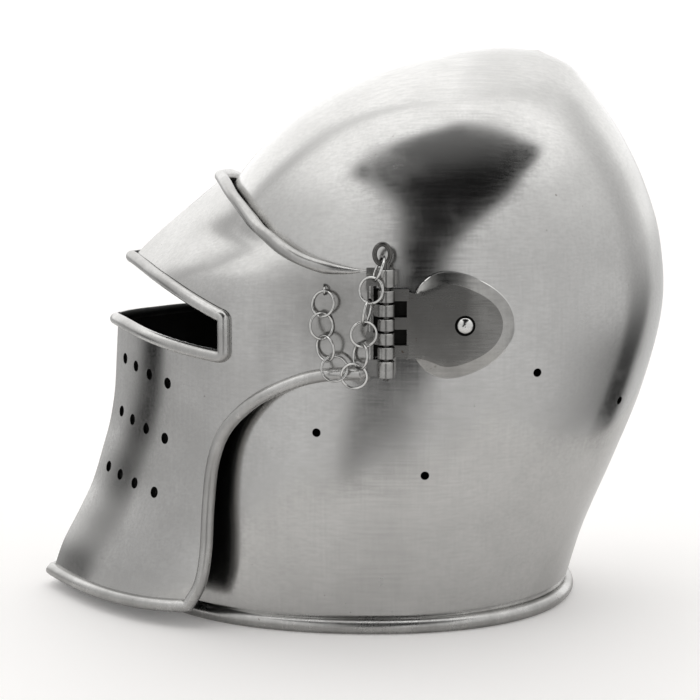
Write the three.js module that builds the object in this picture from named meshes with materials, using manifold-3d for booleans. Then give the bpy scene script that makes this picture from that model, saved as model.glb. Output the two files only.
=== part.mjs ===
// Bascinet: a steel skull with a rolled rim and a keeled visor that lifts on two side rivets.
// Millimetres, +Z up. The face looks along -Y, the wearer's left is +X, and the rim stands on Z = 0.
import * as THREE from 'three';
import { mergeVertices } from 'three/addons/utils/BufferGeometryUtils.js';
import Module from 'manifold-3d';

const wasm = await Module();
wasm.setup();

// Sheet, clearances and the side pivot.
const STEEL = 1.8;
const PIVOT = { y: 59.6, z: 168 };
const LEFT = 1;
const RIGHT = -1;

// Skull: each row is one ring, from the rim to the last ring before the apex. A ring runs from its
// front point to its back point, swells to half, and egg above zero fills its front half.
const SKULL_RINGS = [
  { frontY: -112, frontZ: 4.6, backY: 122.6, backZ: 4.6, half: 91.6, egg: -0.05, square: 2.12 },
  { frontY: -108, frontZ: 40, backY: 133, backZ: 40, half: 94, egg: -0.03, square: 2.12 },
  { frontY: -104, frontZ: 80, backY: 149.5, backZ: 80, half: 95.8, egg: -0.01, square: 2.12 },
  { frontY: -99, frontZ: 120, backY: 165, backZ: 121, half: 96.3, egg: 0, square: 2.12 },
  { frontY: -91, frontZ: 162, backY: 175.1, backZ: 165, half: 95.8, egg: 0.01, square: 2.12 },
  { frontY: -79, frontZ: 202, backY: 172.6, backZ: 203, half: 92, egg: 0.02, square: 2.1 },
  { frontY: -63, frontZ: 234, backY: 163.2, backZ: 233, half: 84, egg: 0.01, square: 2.08 },
  { frontY: -40, frontZ: 260, backY: 151.4, backZ: 257, half: 71, egg: 0, square: 2.05 },
  { frontY: -10, frontZ: 282, backY: 139, backZ: 276, half: 54, egg: 0, square: 2.02 },
  { frontY: 30, frontZ: 298, backY: 129, backZ: 288.5, half: 35, egg: 0, square: 2 },
  { frontY: 75, frontZ: 305.8, backY: 120.5, backZ: 297.4, half: 16, egg: 0, square: 2 },
];
const SKULL_APEX = { y: 104, z: 305 };
const SKULL_GRID = { rings: 14, around: 34 };
const FACE_OPENING = { half: 55, shoulder: 150, top: 206, depth: 160 };
// Rolled edges: radius of the bead, its centre from the middle of the sheet, and its facets.
const RIM = { radius: 4, centre: 2.4, angles: [-112, -68, -24, 20, 64, 116, 163, 214.4] };
const LINING_HOLES = { diameter: 4.6, places: [[-17.7, 109.3], [39.4, 87.2], [98.5, 140.8], [146.5, 118.4]] };
const RIVET_HOLE = 5;

// Visor: keel is the Y of the centre crease at height z, nose the half width that the bulge
// swells to, reach the length behind the keel in which it gets there.
const VISOR_SECTIONS = [
  { z: 4, keel: -172.7, nose: 86, reach: 111 },
  { z: 9, keel: -170.7, nose: 86, reach: 110 },
  { z: 25, keel: -164.9, nose: 85.5, reach: 107 },
  { z: 43, keel: -155.6, nose: 85, reach: 103 },
  { z: 61, keel: -147, nose: 84.5, reach: 99 },
  { z: 80, keel: -141, nose: 84, reach: 95 },
  { z: 98, keel: -136, nose: 84, reach: 91 },
  { z: 116, keel: -133.2, nose: 84, reach: 88 },
  { z: 137, keel: -131.8, nose: 84, reach: 86 },
  { z: 158, keel: -130.4, nose: 84, reach: 85 },
  { z: 176, keel: -127.8, nose: 83.4, reach: 84.5 },
  { z: 188, keel: -122.4, nose: 82, reach: 84 },
  { z: 198, keel: -113.4, nose: 78, reach: 84 },
  { z: 208, keel: -102.4, nose: 70.5, reach: 82 },
  { z: 217, keel: -91.8, nose: 66, reach: 66 },
  { z: 228, keel: -78.6, nose: 58.5, reach: 41 },
  { z: 237, keel: -68.4, nose: 58, reach: 20 },
];
const KEEL_SHARPNESS = 2.2;
const CHEEK = { fromY: -80, toY: 10, power: 1.6, x: 100 };
const KEEL_ENDS = { bottomZ: 8.4, topZ: 234.6 };
// Rear edge of the visor from its lower corner up to the hinge, then the top edge from the keel back.
const REAR_EDGE = [
  { y: -87, z: 12 }, { y: -80, z: 25 }, { y: -76.8, z: 43 }, { y: -75.4, z: 66 },
  { y: -72.4, z: 91 }, { y: -65, z: 110 }, { y: -50.5, z: 125.3 }, { y: -32.6, z: 135 },
  { y: -15, z: 140.6 }, { y: 10, z: 143.2 },
];
const TOP_EDGE = [
  { y: -70.9, z: 234.6 }, { y: -66.5, z: 232.8 }, { y: -60.5, z: 227.3 }, { y: -52.4, z: 219.4 },
  { y: -43.5, z: 211.2 }, { y: -30, z: 202.9 }, { y: -12, z: 197.3 }, { y: 10, z: 195.8 },
];
const REAR_SHARE = 0.6;
const BOTTOM_SAG = 1.2;
const VISOR_GRID = { rows: 15, columns: 11, crowd: 1.3, rounds: 60 };
// Sight: heights of its two lips, from the keel back to its rear end.
const SIGHT_LOWER = [{ y: -150, z: 154.9 }, { y: -129, z: 154.7 }, { y: -110, z: 152.4 }, { y: -66, z: 148 }];
const SIGHT_UPPER = [{ y: -150, z: 190.8 }, { y: -122, z: 189.6 }, { y: -102.3, z: 184 }, { y: -66, z: 169.2 }];
const SIGHT_REAR = { y: -66, corner: 3.7 };
const BEAD = { radius: 3.4, centre: 2, segments: 6, sides: 6 };
// Breaths: rows of round holes, their height at the keel, fall toward the rear and places across.
const BREATHS = { diameter: 6.3, sides: 6, across: [12.6, 26.2, 40.4, 55.4] };
const BREATH_ROWS = [{ z: 136, fall: 0.13 }, { z: 106, fall: 0.14 }, { z: 73.6, fall: 0.1 }];

// Side hinge: barrels on one vertical pin. The odd barrels belong to the visor.
const HINGE = { x: 103.5, y: 18.3, radius: 4.1, bore: 2.05, sides: 8 };
const BARRELS = [
  { top: 198.2, bottom: 188.9, of: 'visor' }, { top: 187.2, bottom: 181, of: 'plate' },
  { top: 179.9, bottom: 173.6, of: 'visor' }, { top: 172.4, bottom: 166.1, of: 'plate' },
  { top: 165, bottom: 158.8, of: 'visor' }, { top: 157.7, bottom: 151.4, of: 'plate' },
  { top: 150.2, bottom: 141.4, of: 'visor' },
];
const HINGE_LEAF = { inner: 98.3, outer: 100.3, visorEdge: 9.4, plateEdge: 29.4 };
const PIN = { radius: 1.7, foot: 139.8, sides: 8 };
const PIN_EYE = { y: 16.6, z: 205.9, halfY: 4, halfZ: 5.2, rod: 1.25 };

// Pivot plate: a leaf drawn about a point ahead of the rivet, with a dished border.
const PLATE = {
  x: 98.3, thick: 1.9, edge: 0.9, centre: -9, round: 28.2, tip: 7, waist: 8.8, border: 6.5,
  tongue: 17.9, bowBack: 0.0052, bowUp: 0.0011, steps: 24,
};
const RIVET = { hole: 2.6, sink: 5.4, sinkDepth: 0.9, shank: 2.2, head: 4.3, dome: 2.2, tail: 4.2 };

// Chain: round wire links from the staple on the visor to the eye of the pin. x, y and z place the
// centre; lean and turn, in degrees, point the axis of the ring.
const LINK = { radius: 6.7, wire: 0.62, segments: 10, sides: 5 };
const STAPLE = { y: -13.3, z: 186, half: 2.5, reach: 5, wire: 0.6 };
const CHAIN = [
  { x: 97.0, y: -14.0, z: 179.1, lean: 15, turn: -34 },
  { x: 99.1, y: -14.8, z: 167.8, lean: 9, turn: 30 },
  { x: 100.3, y: -12.8, z: 156.2, lean: -4, turn: -49 },
  { x: 103.3, y: -8.1, z: 146.2, lean: 21, turn: 4 },
  { x: 104.3, y: 2.1, z: 142.4, lean: -8, turn: -9 },
  { x: 106.2, y: 5.3, z: 153.3, lean: 7, turn: -59 },
  { x: 106.9, y: 7.0, z: 164.8, lean: -4, turn: 8 },
  { x: 107.4, y: 8.7, z: 176.3, lean: -10, turn: 74 },
  { x: 107.4, y: 10.8, z: 187.8, lean: 7, turn: -28 },
  { x: 107.4, y: 14.7, z: 198.8, lean: 23, turn: -82 },
];

const STEEL_BRIGHT = new THREE.MeshStandardMaterial({ color: 0xb4b4b1, roughness: 0.34, metalness: 1 });
const STEEL_DARK = new THREE.MeshStandardMaterial({ color: 0x8e8d8a, roughness: 0.4, metalness: 1 });
const STEEL_WIRE = new THREE.MeshStandardMaterial({ color: 0xc4c3bf, roughness: 0.25, metalness: 1 });

const mix = (a, b, t) => a + (b - a) * t;
const clamp = (value, low, high) => Math.min(high, Math.max(low, value));
const range = (count) => Array.from({ length: count }, (_, index) => index);

/** Monotone curve of one column of a table against its key column, straight beyond the ends. */
function curveOf(rows, key, column) {
  const x = rows.map((row) => row[key]);
  const y = rows.map((row) => row[column]);
  const chord = range(x.length - 1).map((i) => (y[i + 1] - y[i]) / (x[i + 1] - x[i]));
  const slope = x.map((_, i) => {
    if (i === 0) return chord[0];
    if (i === x.length - 1) return chord[i - 1];
    const [a, b] = [chord[i - 1], chord[i]];
    return a * b <= 0 ? 0 : (2 * a * b) / (a + b);
  });
  return (at) => {
    const i = clamp(x.findIndex((value) => value > at) - 1, -2, x.length - 2);
    if (at <= x[0]) return y[0] + slope[0] * (at - x[0]);
    if (i < 0) return y[y.length - 1] + slope[slope.length - 1] * (at - x[x.length - 1]);
    const h = x[i + 1] - x[i];
    const t = (at - x[i]) / h;
    const rise = y[i + 1] - y[i];
    const bend = h * (slope[i] + slope[i + 1]) - 2 * rise;
    return y[i] + t * (h * slope[i] + t * (3 * rise - h * (2 * slope[i] + slope[i + 1]) + t * bend));
  };
}

/** Catmull-Rom value of every column at a fractional row number. */
function rowAt(rows, at) {
  const i = clamp(Math.floor(at), 0, rows.length - 2);
  const t = at - i;
  const value = {};
  for (const column of Object.keys(rows[0])) {
    const b = rows[i][column];
    const c = rows[i + 1][column];
    const a = i > 0 ? rows[i - 1][column] : 2 * b - c;
    const d = i + 2 < rows.length ? rows[i + 2][column] : 2 * c - b;
    value[column] = 0.5 * (2 * b + (c - a) * t + (2 * a - 5 * b + 4 * c - d) * t * t
      + (3 * b - a - 3 * c + d) * t * t * t);
  }
  return value;
}

/** Closed solid from shared points and triangles, turned so that its faces point out. */
function solid(points, triangles) {
  let volume = 0;
  const normal = new THREE.Vector3();
  for (const [a, b, c] of triangles) volume += points[a].dot(normal.crossVectors(points[b], points[c]));
  const faces = volume < 0 ? triangles.map(([a, b, c]) => [a, c, b]) : triangles;
  return new wasm.Manifold(new wasm.Mesh({
    numProp: 3,
    vertProperties: new Float32Array(points.flatMap((point) => point.toArray())),
    triVerts: new Uint32Array(faces.flat()),
  }));
}

/** Solid of a closed three.js geometry after a transform. */
function solidOf(geometry, matrix = new THREE.Matrix4()) {
  const bare = geometry.clone().applyMatrix4(matrix);
  bare.deleteAttribute('normal');
  bare.deleteAttribute('uv');
  const merged = mergeVertices(bare, 1e-4);
  const position = merged.getAttribute('position');
  const points = range(position.count).map((i) => new THREE.Vector3().fromBufferAttribute(position, i));
  const index = Array.from(merged.getIndex().array);
  const triangles = range(index.length / 3).map((i) => index.slice(3 * i, 3 * i + 3));
  return solid(points, triangles.filter(([a, b, c]) => a !== b && b !== c && c !== a));
}

const joined = (solids) => solids.reduce((all, one) => all.add(one));

/** Named mesh of a solid. */
function meshOf(name, body, material) {
  const { vertProperties, triVerts } = body.getMesh();
  const geometry = new THREE.BufferGeometry();
  geometry.setAttribute('position', new THREE.BufferAttribute(new Float32Array(vertProperties), 3));
  geometry.setIndex(new THREE.BufferAttribute(new Uint32Array(triVerts), 1));
  geometry.computeVertexNormals();
  const mesh = new THREE.Mesh(geometry, material);
  mesh.name = name;
  return mesh;
}

/** Triangles of a grid of rows that may close on themselves; with points, each cell's short diagonal. */
function gridFaces(rows, columns, wrap, points = null) {
  const faces = [];
  const last = wrap ? columns : columns - 1;
  for (let i = 0; i < rows - 1; i += 1) {
    for (let j = 0; j < last; j += 1) {
      const [a, b] = [i * columns + j, i * columns + ((j + 1) % columns)];
      const [c, d] = [b + columns, a + columns];
      if (points && points[b].distanceTo(points[d]) < points[a].distanceTo(points[c]) - 1e-4) {
        faces.push([a, b, d], [b, c, d]);
      } else {
        faces.push([a, b, c], [a, c, d]);
      }
    }
  }
  return faces;
}

/** Bead section about an edge, from the outer face of the sheet round to the inner face. */
function beadSection(radius, centre, segments, angles = null) {
  const half = STEEL / 2;
  const from = -Math.acos((half - centre) / radius);
  const to = 2 * Math.PI - Math.acos((-half - centre) / radius);
  const steps = angles?.map(THREE.MathUtils.degToRad) ?? range(segments + 1).map((q) => mix(from, to, q / segments));
  return steps.map((angle) => ({ out: centre + radius * Math.cos(angle), past: radius * Math.sin(angle) }));
}

/**
 * Sheet between two grids of the same layout with a bead rolled along a closed border. The border
 * lists the grid's points in order, each with its bead section.
 */
function rolledSheet(outer, inner, faces, border, shape = (point) => point) {
  const count = outer.length;
  const points = [...outer, ...inner].map((point) => point.clone());
  const loops = border.map(({ index, section }, k) => {
    const before = outer[border[(k + border.length - 1) % border.length].index];
    const after = outer[border[(k + 1) % border.length].index];
    const normal = outer[index].clone().sub(inner[index]).normalize();
    const edge = new THREE.Vector3().crossVectors(after.clone().sub(before), normal).normalize();
    const middle = outer[index].clone().add(inner[index]).multiplyScalar(0.5);
    const ring = section.map(({ out, past }) => shape(
      middle.clone().addScaledVector(normal, out).addScaledVector(edge, past),
    ));
    points[index] = ring[0];
    points[count + index] = ring.at(-1);
    return ring.map((point, q) => {
      if (q === 0) return index;
      if (q === ring.length - 1) return count + index;
      return points.push(point) - 1;
    });
  });
  const flipped = faces.map(([a, b, c]) => [a + count, c + count, b + count]);
  const all = [...faces, ...flipped];
  loops.forEach((here, k) => {
    const next = loops[(k + 1) % loops.length];
    for (const q of range(here.length - 1)) {
      all.push([here[q], here[q + 1], next[q + 1]], [here[q], next[q + 1], next[q]]);
    }
  });
  return { points, faces: all };
}

/** Rod along a path; radius is a number or a function of the share of the path. */
function rod(path, radius, { sides = 8, closed = false, turn = 0, shape = null } = {}) {
  const count = path.length;
  const tangent = path.map((_, i) => {
    const before = closed ? path[(i + count - 1) % count] : path[Math.max(i - 1, 0)];
    const after = closed ? path[(i + 1) % count] : path[Math.min(i + 1, count - 1)];
    return after.clone().sub(before).normalize();
  });
  const start = Math.abs(tangent[0].x) < 0.8 ? new THREE.Vector3(1, 0, 0) : new THREE.Vector3(0, 0, 1);
  let up = start.clone().addScaledVector(tangent[0], -start.dot(tangent[0])).normalize();
  const points = [];
  path.forEach((centre, i) => {
    up = up.clone().addScaledVector(tangent[i], -up.dot(tangent[i])).normalize();
    const side = new THREE.Vector3().crossVectors(tangent[i], up);
    const size = typeof radius === 'function' ? radius(i / (count - 1)) : radius;
    for (const j of range(sides)) {
      const angle = turn + (j / sides) * 2 * Math.PI;
      const point = centre.clone().addScaledVector(up, size * Math.cos(angle));
      point.addScaledVector(side, size * Math.sin(angle));
      points.push(shape ? shape(point) : point);
    }
  });
  const faces = gridFaces(count, sides, true);
  const end = (count - 1) * sides;
  for (const j of range(sides)) {
    const next = (j + 1) % sides;
    if (closed) {
      faces.push([end + j, end + next, next], [end + j, next, j]);
    } else if (j > 0 && next > 0) {
      faces.push([0, next, j], [end, end + j, end + next]);
    }
  }
  return solid(points, faces);
}

/** Cylinder between two points. */
function bar(from, to, radius, sides = 8) {
  return rod([from, to], radius, { sides });
}

/** Box between two corners. */
function block(low, high) {
  const size = high.clone().sub(low);
  const centre = low.clone().addScaledVector(size, 0.5);
  return solidOf(new THREE.BoxGeometry(size.x, size.y, size.z), new THREE.Matrix4().setPosition(centre));
}

/** Prism along X of an outline given as [y, z] pairs. */
function sidePrism(outline, fromX, toX) {
  const shape = new THREE.Shape(outline.map(([y, z]) => new THREE.Vector2(y, z)));
  const geometry = new THREE.ExtrudeGeometry(shape, { depth: toX - fromX, bevelEnabled: false });
  const basis = new THREE.Matrix4().makeBasis(
    new THREE.Vector3(0, 1, 0), new THREE.Vector3(0, 0, 1), new THREE.Vector3(1, 0, 0),
  );
  return solidOf(geometry, basis.setPosition(fromX, 0, 0));
}

/** Point of the skull's outer face: ring number from the rim up, angle from the front. */
function skullPoint(ring, angle) {
  const rows = [...SKULL_RINGS, {
    frontY: SKULL_APEX.y, frontZ: SKULL_APEX.z, backY: SKULL_APEX.y, backZ: SKULL_APEX.z,
    half: 0, egg: 0, square: 2,
  }];
  const row = rowAt(rows, ring);
  const power = 2 / row.square;
  const fore = Math.sign(Math.cos(angle)) * Math.abs(Math.cos(angle)) ** power;
  const side = Math.sign(Math.sin(angle)) * Math.abs(Math.sin(angle)) ** power;
  return new THREE.Vector3(
    row.half * side * (1 + row.egg * fore),
    (row.frontY + row.backY) / 2 - ((row.backY - row.frontY) / 2) * fore,
    (row.frontZ + row.backZ) / 2 - ((row.backZ - row.frontZ) / 2) * fore,
  );
}

/** Outward normal of the skull. */
function skullNormal(ring, angle) {
  const step = 0.01;
  const along = skullPoint(ring, angle + step).sub(skullPoint(ring, angle - step));
  const rise = skullPoint(Math.min(ring + step, SKULL_RINGS.length), angle)
    .sub(skullPoint(Math.max(ring - step, 0), angle));
  return new THREE.Vector3().crossVectors(along, rise).normalize();
}

/** Point and normal of the skull's left half that lie at a given y and z in the side view. */
function skullAt(y, z) {
  const place = new THREE.Vector2(3, Math.PI / 2);
  const miss = (ring, angle) => {
    const point = skullPoint(ring, angle);
    return [point.y - y, point.z - z];
  };
  for (let round = 0; round < 40; round += 1) {
    const step = 1e-4;
    const [ey, ez] = miss(place.x, place.y);
    const [ry, rz] = miss(place.x + step, place.y).map((value, k) => (value - [ey, ez][k]) / step);
    const [ay, az] = miss(place.x, place.y + step).map((value, k) => (value - [ey, ez][k]) / step);
    const det = ry * az - rz * ay;
    place.x = clamp(place.x - clamp((ey * az - ez * ay) / det, -0.5, 0.5), 0.02, SKULL_RINGS.length - 0.02);
    place.y = clamp(place.y - clamp((ez * ry - ey * rz) / det, -0.3, 0.3), 0.02, Math.PI - 0.02);
  }
  return { point: skullPoint(place.x, place.y), normal: skullNormal(place.x, place.y) };
}

/** Bowl between the outer face and the same face moved in by the sheet, with the rolled rim. */
function skullBowl() {
  const { rings, around } = SKULL_GRID;
  const angles = range(around).map((j) => (j / around) * 2 * Math.PI);
  const heights = range(rings).map((i) => (i / rings) * SKULL_RINGS.length);
  const level = (point, ring) => (ring === 0 ? point.setZ(RIM.radius) : point);
  const outer = heights.flatMap((ring) => angles.map((angle) => level(skullPoint(ring, angle), ring)));
  const inner = heights.flatMap((ring) => angles.map((angle) => {
    const normal = ring === 0 ? skullNormal(ring, angle).setZ(0).normalize() : skullNormal(ring, angle);
    return level(skullPoint(ring, angle).addScaledVector(normal, -STEEL), ring);
  }));
  const section = beadSection(RIM.radius, RIM.centre, 0, RIM.angles);
  const border = angles.map((_, index) => ({ index, section }));
  const stand = (point) => point.setZ(point.z < 0.8 ? 0 : point.z);
  const { points, faces } = rolledSheet(outer, inner, gridFaces(rings, around, true), border, stand);
  const crown = skullPoint(SKULL_RINGS.length, 0);
  const top = points.push(crown, crown.clone().add(new THREE.Vector3(0, 0, -STEEL))) - 2;
  const last = outer.length - around;
  for (const j of range(around)) {
    const next = (j + 1) % around;
    faces.push([last + j, last + next, top]);
    faces.push([outer.length + last + next, outer.length + last + j, top + 1]);
  }
  return solid(points, faces);
}

/** Arched face opening, cut straight back through the front of the skull. */
function faceCutter() {
  const { half, shoulder, top, depth } = FACE_OPENING;
  const shape = new THREE.Shape();
  shape.moveTo(-half, -10);
  shape.lineTo(half, -10);
  shape.lineTo(half + 4, shoulder);
  for (const k of range(9).slice(1)) {
    const angle = (k / 8) * Math.PI;
    shape.lineTo((half + 4) * Math.cos(angle), shoulder + (top - shoulder) * Math.sin(angle));
  }
  const geometry = new THREE.ExtrudeGeometry(shape, { depth, bevelEnabled: false });
  const basis = new THREE.Matrix4().makeBasis(
    new THREE.Vector3(1, 0, 0), new THREE.Vector3(0, 0, 1), new THREE.Vector3(0, -1, 0),
  );
  return solidOf(geometry, basis);
}

/** Skull with its rim, face opening, lining holes and rivet holes. */
function makeSkull() {
  let body = skullBowl().subtract(faceCutter());
  const drill = (y, z, diameter, along = null) => {
    const { point, normal } = skullAt(y, z);
    const axis = along ?? normal;
    for (const side of [LEFT, RIGHT]) {
      const flip = new THREE.Vector3(side, 1, 1);
      const from = point.clone().addScaledVector(axis, -9).multiply(flip);
      const to = point.clone().addScaledVector(axis, 6).multiply(flip);
      body = body.subtract(bar(from, to, diameter / 2));
    }
  };
  for (const [y, z] of LINING_HOLES.places) drill(y, z, LINING_HOLES.diameter);
  drill(PIVOT.y, PIVOT.z, RIVET_HOLE, new THREE.Vector3(1, 0, 0));
  return body;
}

const visorCurves = Object.fromEntries(
  ['keel', 'nose', 'reach'].map((column) => [column, curveOf(VISOR_SECTIONS, 'z', column)]),
);

/** Half width of the visor's outer face at a place in the side view. */
function visorX(y, z) {
  const nose = visorCurves.nose(z);
  const back = clamp((y - visorCurves.keel(z)) / visorCurves.reach(z), 0, 1);
  const swell = 1 - (1 - back) ** KEEL_SHARPNESS;
  const cheek = clamp((y - CHEEK.fromY) / (CHEEK.toY - CHEEK.fromY), 0, 1.2) ** CHEEK.power;
  return swell * (nose + (CHEEK.x - nose) * cheek);
}

/** Outward normal of the visor's left half. */
function visorNormal(y, z) {
  const step = 0.05;
  const run = (visorX(y + 2 * step, z) - visorX(y, z)) / (2 * step);
  const rise = (visorX(y + step, z + step) - visorX(y + step, z - step)) / (2 * step);
  return new THREE.Vector3(1, -run, -rise).normalize();
}

/** Point on either half of the visor, moved out of its face by a distance. */
function visorPoint(side, y, z, out = 0) {
  const keel = visorCurves.keel(z);
  const behind = Math.max(y, keel);
  const normal = visorNormal(behind, z);
  if (behind - keel < 1e-6) {
    const length = Math.hypot(normal.y, normal.z);
    normal.set(0, normal.y / length, normal.z / length);
    return new THREE.Vector3(0, keel, z).addScaledVector(normal, out / length);
  }
  const point = new THREE.Vector3(visorX(behind, z), behind, z).addScaledVector(normal, out);
  return point.multiply(new THREE.Vector3(side, 1, 1));
}

/** Place in the side view: across from the keel to the rear edge, up from the bottom edge to the top. */
function visorPlace(across, up) {
  const keelZ = mix(KEEL_ENDS.bottomZ, KEEL_ENDS.topZ, up);
  const keelY = visorCurves.keel(keelZ);
  const rear = up < REAR_SHARE
    ? rowAt(REAR_EDGE, (up / REAR_SHARE) * (REAR_EDGE.length - 1))
    : { y: CHEEK.toY, z: mix(REAR_EDGE.at(-1).z, TOP_EDGE.at(-1).z, (up - REAR_SHARE) / (1 - REAR_SHARE)) };
  const top = rowAt(TOP_EDGE, across * (TOP_EDGE.length - 1));
  const lift = up ** 3;
  const sag = -BOTTOM_SAG * 4 * across * (1 - across) * (1 - up) ** 6;
  return {
    y: mix(keelY, rear.y, across) + lift * (top.y - mix(TOP_EDGE[0].y, TOP_EDGE.at(-1).y, across)),
    z: mix(keelZ, rear.z, across) + lift * (top.z - mix(TOP_EDGE[0].z, TOP_EDGE.at(-1).z, across)) + sag,
  };
}

/** Places of the visor's grid in the side view; the inner ones are eased off the edges. */
function visorPlaces() {
  const { rows, columns, crowd, rounds } = VISOR_GRID;
  const places = range(rows + 1).map((i) => range(columns + 1).map((j) => {
    const { y, z } = visorPlace((j / columns) ** crowd, i / rows);
    return new THREE.Vector2(y, z);
  }));
  for (const round of range(rounds * (rows - 1) * (columns - 1))) {
    const cell = round % ((rows - 1) * (columns - 1));
    const i = 1 + Math.floor(cell / (columns - 1));
    const j = 1 + (cell % (columns - 1));
    const [back, ahead, down, up] = [places[i][j + 1], places[i][j - 1], places[i - 1][j], places[i + 1][j]];
    const across = back.clone().sub(ahead);
    const rise = up.clone().sub(down);
    const twist = places[i + 1][j + 1].clone().sub(places[i + 1][j - 1])
      .sub(places[i - 1][j + 1]).add(places[i - 1][j - 1]);
    places[i][j] = back.clone().add(ahead).multiplyScalar(rise.lengthSq())
      .addScaledVector(up.clone().add(down), across.lengthSq())
      .addScaledVector(twist, -across.dot(rise) / 2)
      .divideScalar(2 * (rise.lengthSq() + across.lengthSq()));
  }
  return places;
}

/** Plate of the visor with its top, rear and bottom edges rolled; the hinge edge stays plain. */
function visorSheet() {
  const { rows, columns, crowd } = VISOR_GRID;
  const wide = 2 * columns + 1;
  const places = visorPlaces();
  const face = (out) => range(rows + 1).flatMap((i) => range(wide).map((j) => {
    const { x: y, y: z } = places[i][Math.abs(j - columns)];
    return visorPoint(j < columns ? RIGHT : LEFT, y, z, out);
  }));
  const border = [
    ...range(wide - 1),
    ...range(rows).map((i) => i * wide + wide - 1),
    ...range(wide - 1).map((j) => rows * wide + wide - 1 - j),
    ...range(rows).map((i) => (rows - i) * wide),
  ].map((index) => {
    const share = Math.abs((index % wide) - columns) / columns;
    const up = Math.floor(index / wide) / rows;
    const plain = share === 1 && up >= REAR_SHARE ? 0 : 1;
    const fade = up === 1 ? clamp((0.97 - share ** crowd) * 9, 0, 1) : plain;
    return {
      index,
      section: beadSection(mix(0.95, BEAD.radius, fade), mix(0, BEAD.centre, fade), BEAD.segments),
    };
  });
  const outer = face(0);
  const { points, faces } = rolledSheet(outer, face(-STEEL), gridFaces(rows + 1, wide, false, outer), border);
  return solid(points, faces);
}

const sightCurves = { lower: curveOf(SIGHT_LOWER, 'y', 'z'), upper: curveOf(SIGHT_UPPER, 'y', 'z') };

/** Places along one lip of the sight, from the keel to its rear end. */
function sightLip(lip, count) {
  let z = sightCurves[lip](visorCurves.keel(SIGHT_LOWER[0].z));
  for (const _ of range(6)) z = sightCurves[lip](visorCurves.keel(z));
  const keel = visorCurves.keel(z);
  return range(count + 1).map((i) => {
    const y = mix(keel, SIGHT_REAR.y, (i / count) ** 1.25);
    return { y, z: i === 0 ? z : sightCurves[lip](y) };
  });
}

/** Opening of the sight, a prism through both halves of the visor. */
function sightCutter() {
  const lower = sightLip('lower', 8);
  const upper = sightLip('upper', 8);
  const ahead = -150;
  const outline = [
    [ahead, lower[0].z], ...lower.map(({ y, z }) => [y, z]),
    ...upper.reverse().map(({ y, z }) => [y, z]), [ahead, upper.at(-1).z],
  ];
  return sidePrism(outline, -130, 130);
}

/** Rolled edge round the sight, one closed bead with rounded rear corners. */
function sightBead() {
  const { y: rear, corner } = SIGHT_REAR;
  const trim = (places) => places.filter(({ y }) => y < rear - corner + 0.1);
  const arc = (lip, from, to) => range(3).map((k) => {
    const angle = mix(from, to, k / 2);
    const z = sightCurves[lip](rear - corner) + (lip === 'lower' ? corner : -corner);
    return { y: rear - corner + corner * Math.cos(angle), z: z + corner * Math.sin(angle) };
  });
  const half = Math.PI / 2;
  const lower = [...trim(sightLip('lower', 8)), ...arc('lower', -half, 0)];
  const upper = [...arc('upper', 0, half), ...trim(sightLip('upper', 8)).reverse()];
  const out = BEAD.centre - STEEL / 2;
  const halfLoop = (side) => [...lower, ...upper].map(({ y, z }) => visorPoint(side, y, z, out));
  const left = halfLoop(LEFT);
  const right = halfLoop(RIGHT).slice(1, -1).reverse();
  return rod([...left, ...right], BEAD.radius, { sides: BEAD.sides, closed: true });
}

/** Round holes for breath, square to the face. */
function breathCutters() {
  return joined(BREATH_ROWS.flatMap(({ z, fall }) => BREATHS.across.flatMap((x) => {
    const height = z - fall * x;
    let [near, far] = [visorCurves.keel(height), -40];
    for (const _ of range(40)) {
      const middle = (near + far) / 2;
      if (visorX(middle, height) < x) near = middle; else far = middle;
    }
    return [LEFT, RIGHT].map((side) => bar(
      visorPoint(side, near, height, -8), visorPoint(side, near, height, 8), BREATHS.diameter / 2, BREATHS.sides,
    ));
  })));
}

/** Barrel of the side hinge with the strip that ties it to its leaf. */
function barrel({ top, bottom }, side, edge) {
  const { x, y, radius, bore, sides } = HINGE;
  const profile = [[bore, bottom], [radius, bottom], [radius, top], [bore, top], [bore, bottom]];
  const lathe = new THREE.LatheGeometry(profile.map(([r, z]) => new THREE.Vector2(r, z)), sides);
  const turn = new THREE.Matrix4().makeRotationX(Math.PI / 2).setPosition(side * x, y, 0);
  const under = edge < y ? [edge - 1, y + 1] : [y - 1, edge + 1];
  const faces = [HINGE_LEAF.inner, HINGE_LEAF.outer].map((value) => side * value).sort((a, b) => a - b);
  const strip = block(new THREE.Vector3(faces[0], under[0], bottom), new THREE.Vector3(faces[1], under[1], top));
  return solidOf(lathe, turn).add(strip);
}

/** Staple that holds the first link. */
function staple(side) {
  const { y, z, half, reach, wire } = STAPLE;
  const foot = visorX(y, z);
  const path = range(9).map((i) => {
    const angle = (i / 8) * Math.PI;
    return new THREE.Vector3(side * (foot + reach * Math.sin(angle)), y, z + half * Math.cos(angle));
  });
  const feet = [path[0], path.at(-1)].map((point) => point.clone().setX(side * (foot - 1)));
  return rod([feet[0], ...path, feet[1]], wire, { sides: 5 });
}

/** Visor with its beads, sight, breaths, hinge barrels and staples. */
function makeVisor() {
  let body = visorSheet().subtract(sightCutter()).add(sightBead()).subtract(breathCutters());
  for (const side of [LEFT, RIGHT]) {
    for (const each of BARRELS.filter(({ of }) => of === 'visor')) {
      body = body.add(barrel(each, side, HINGE_LEAF.visorEdge));
    }
    body = body.add(staple(side));
  }
  return body;
}

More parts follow.
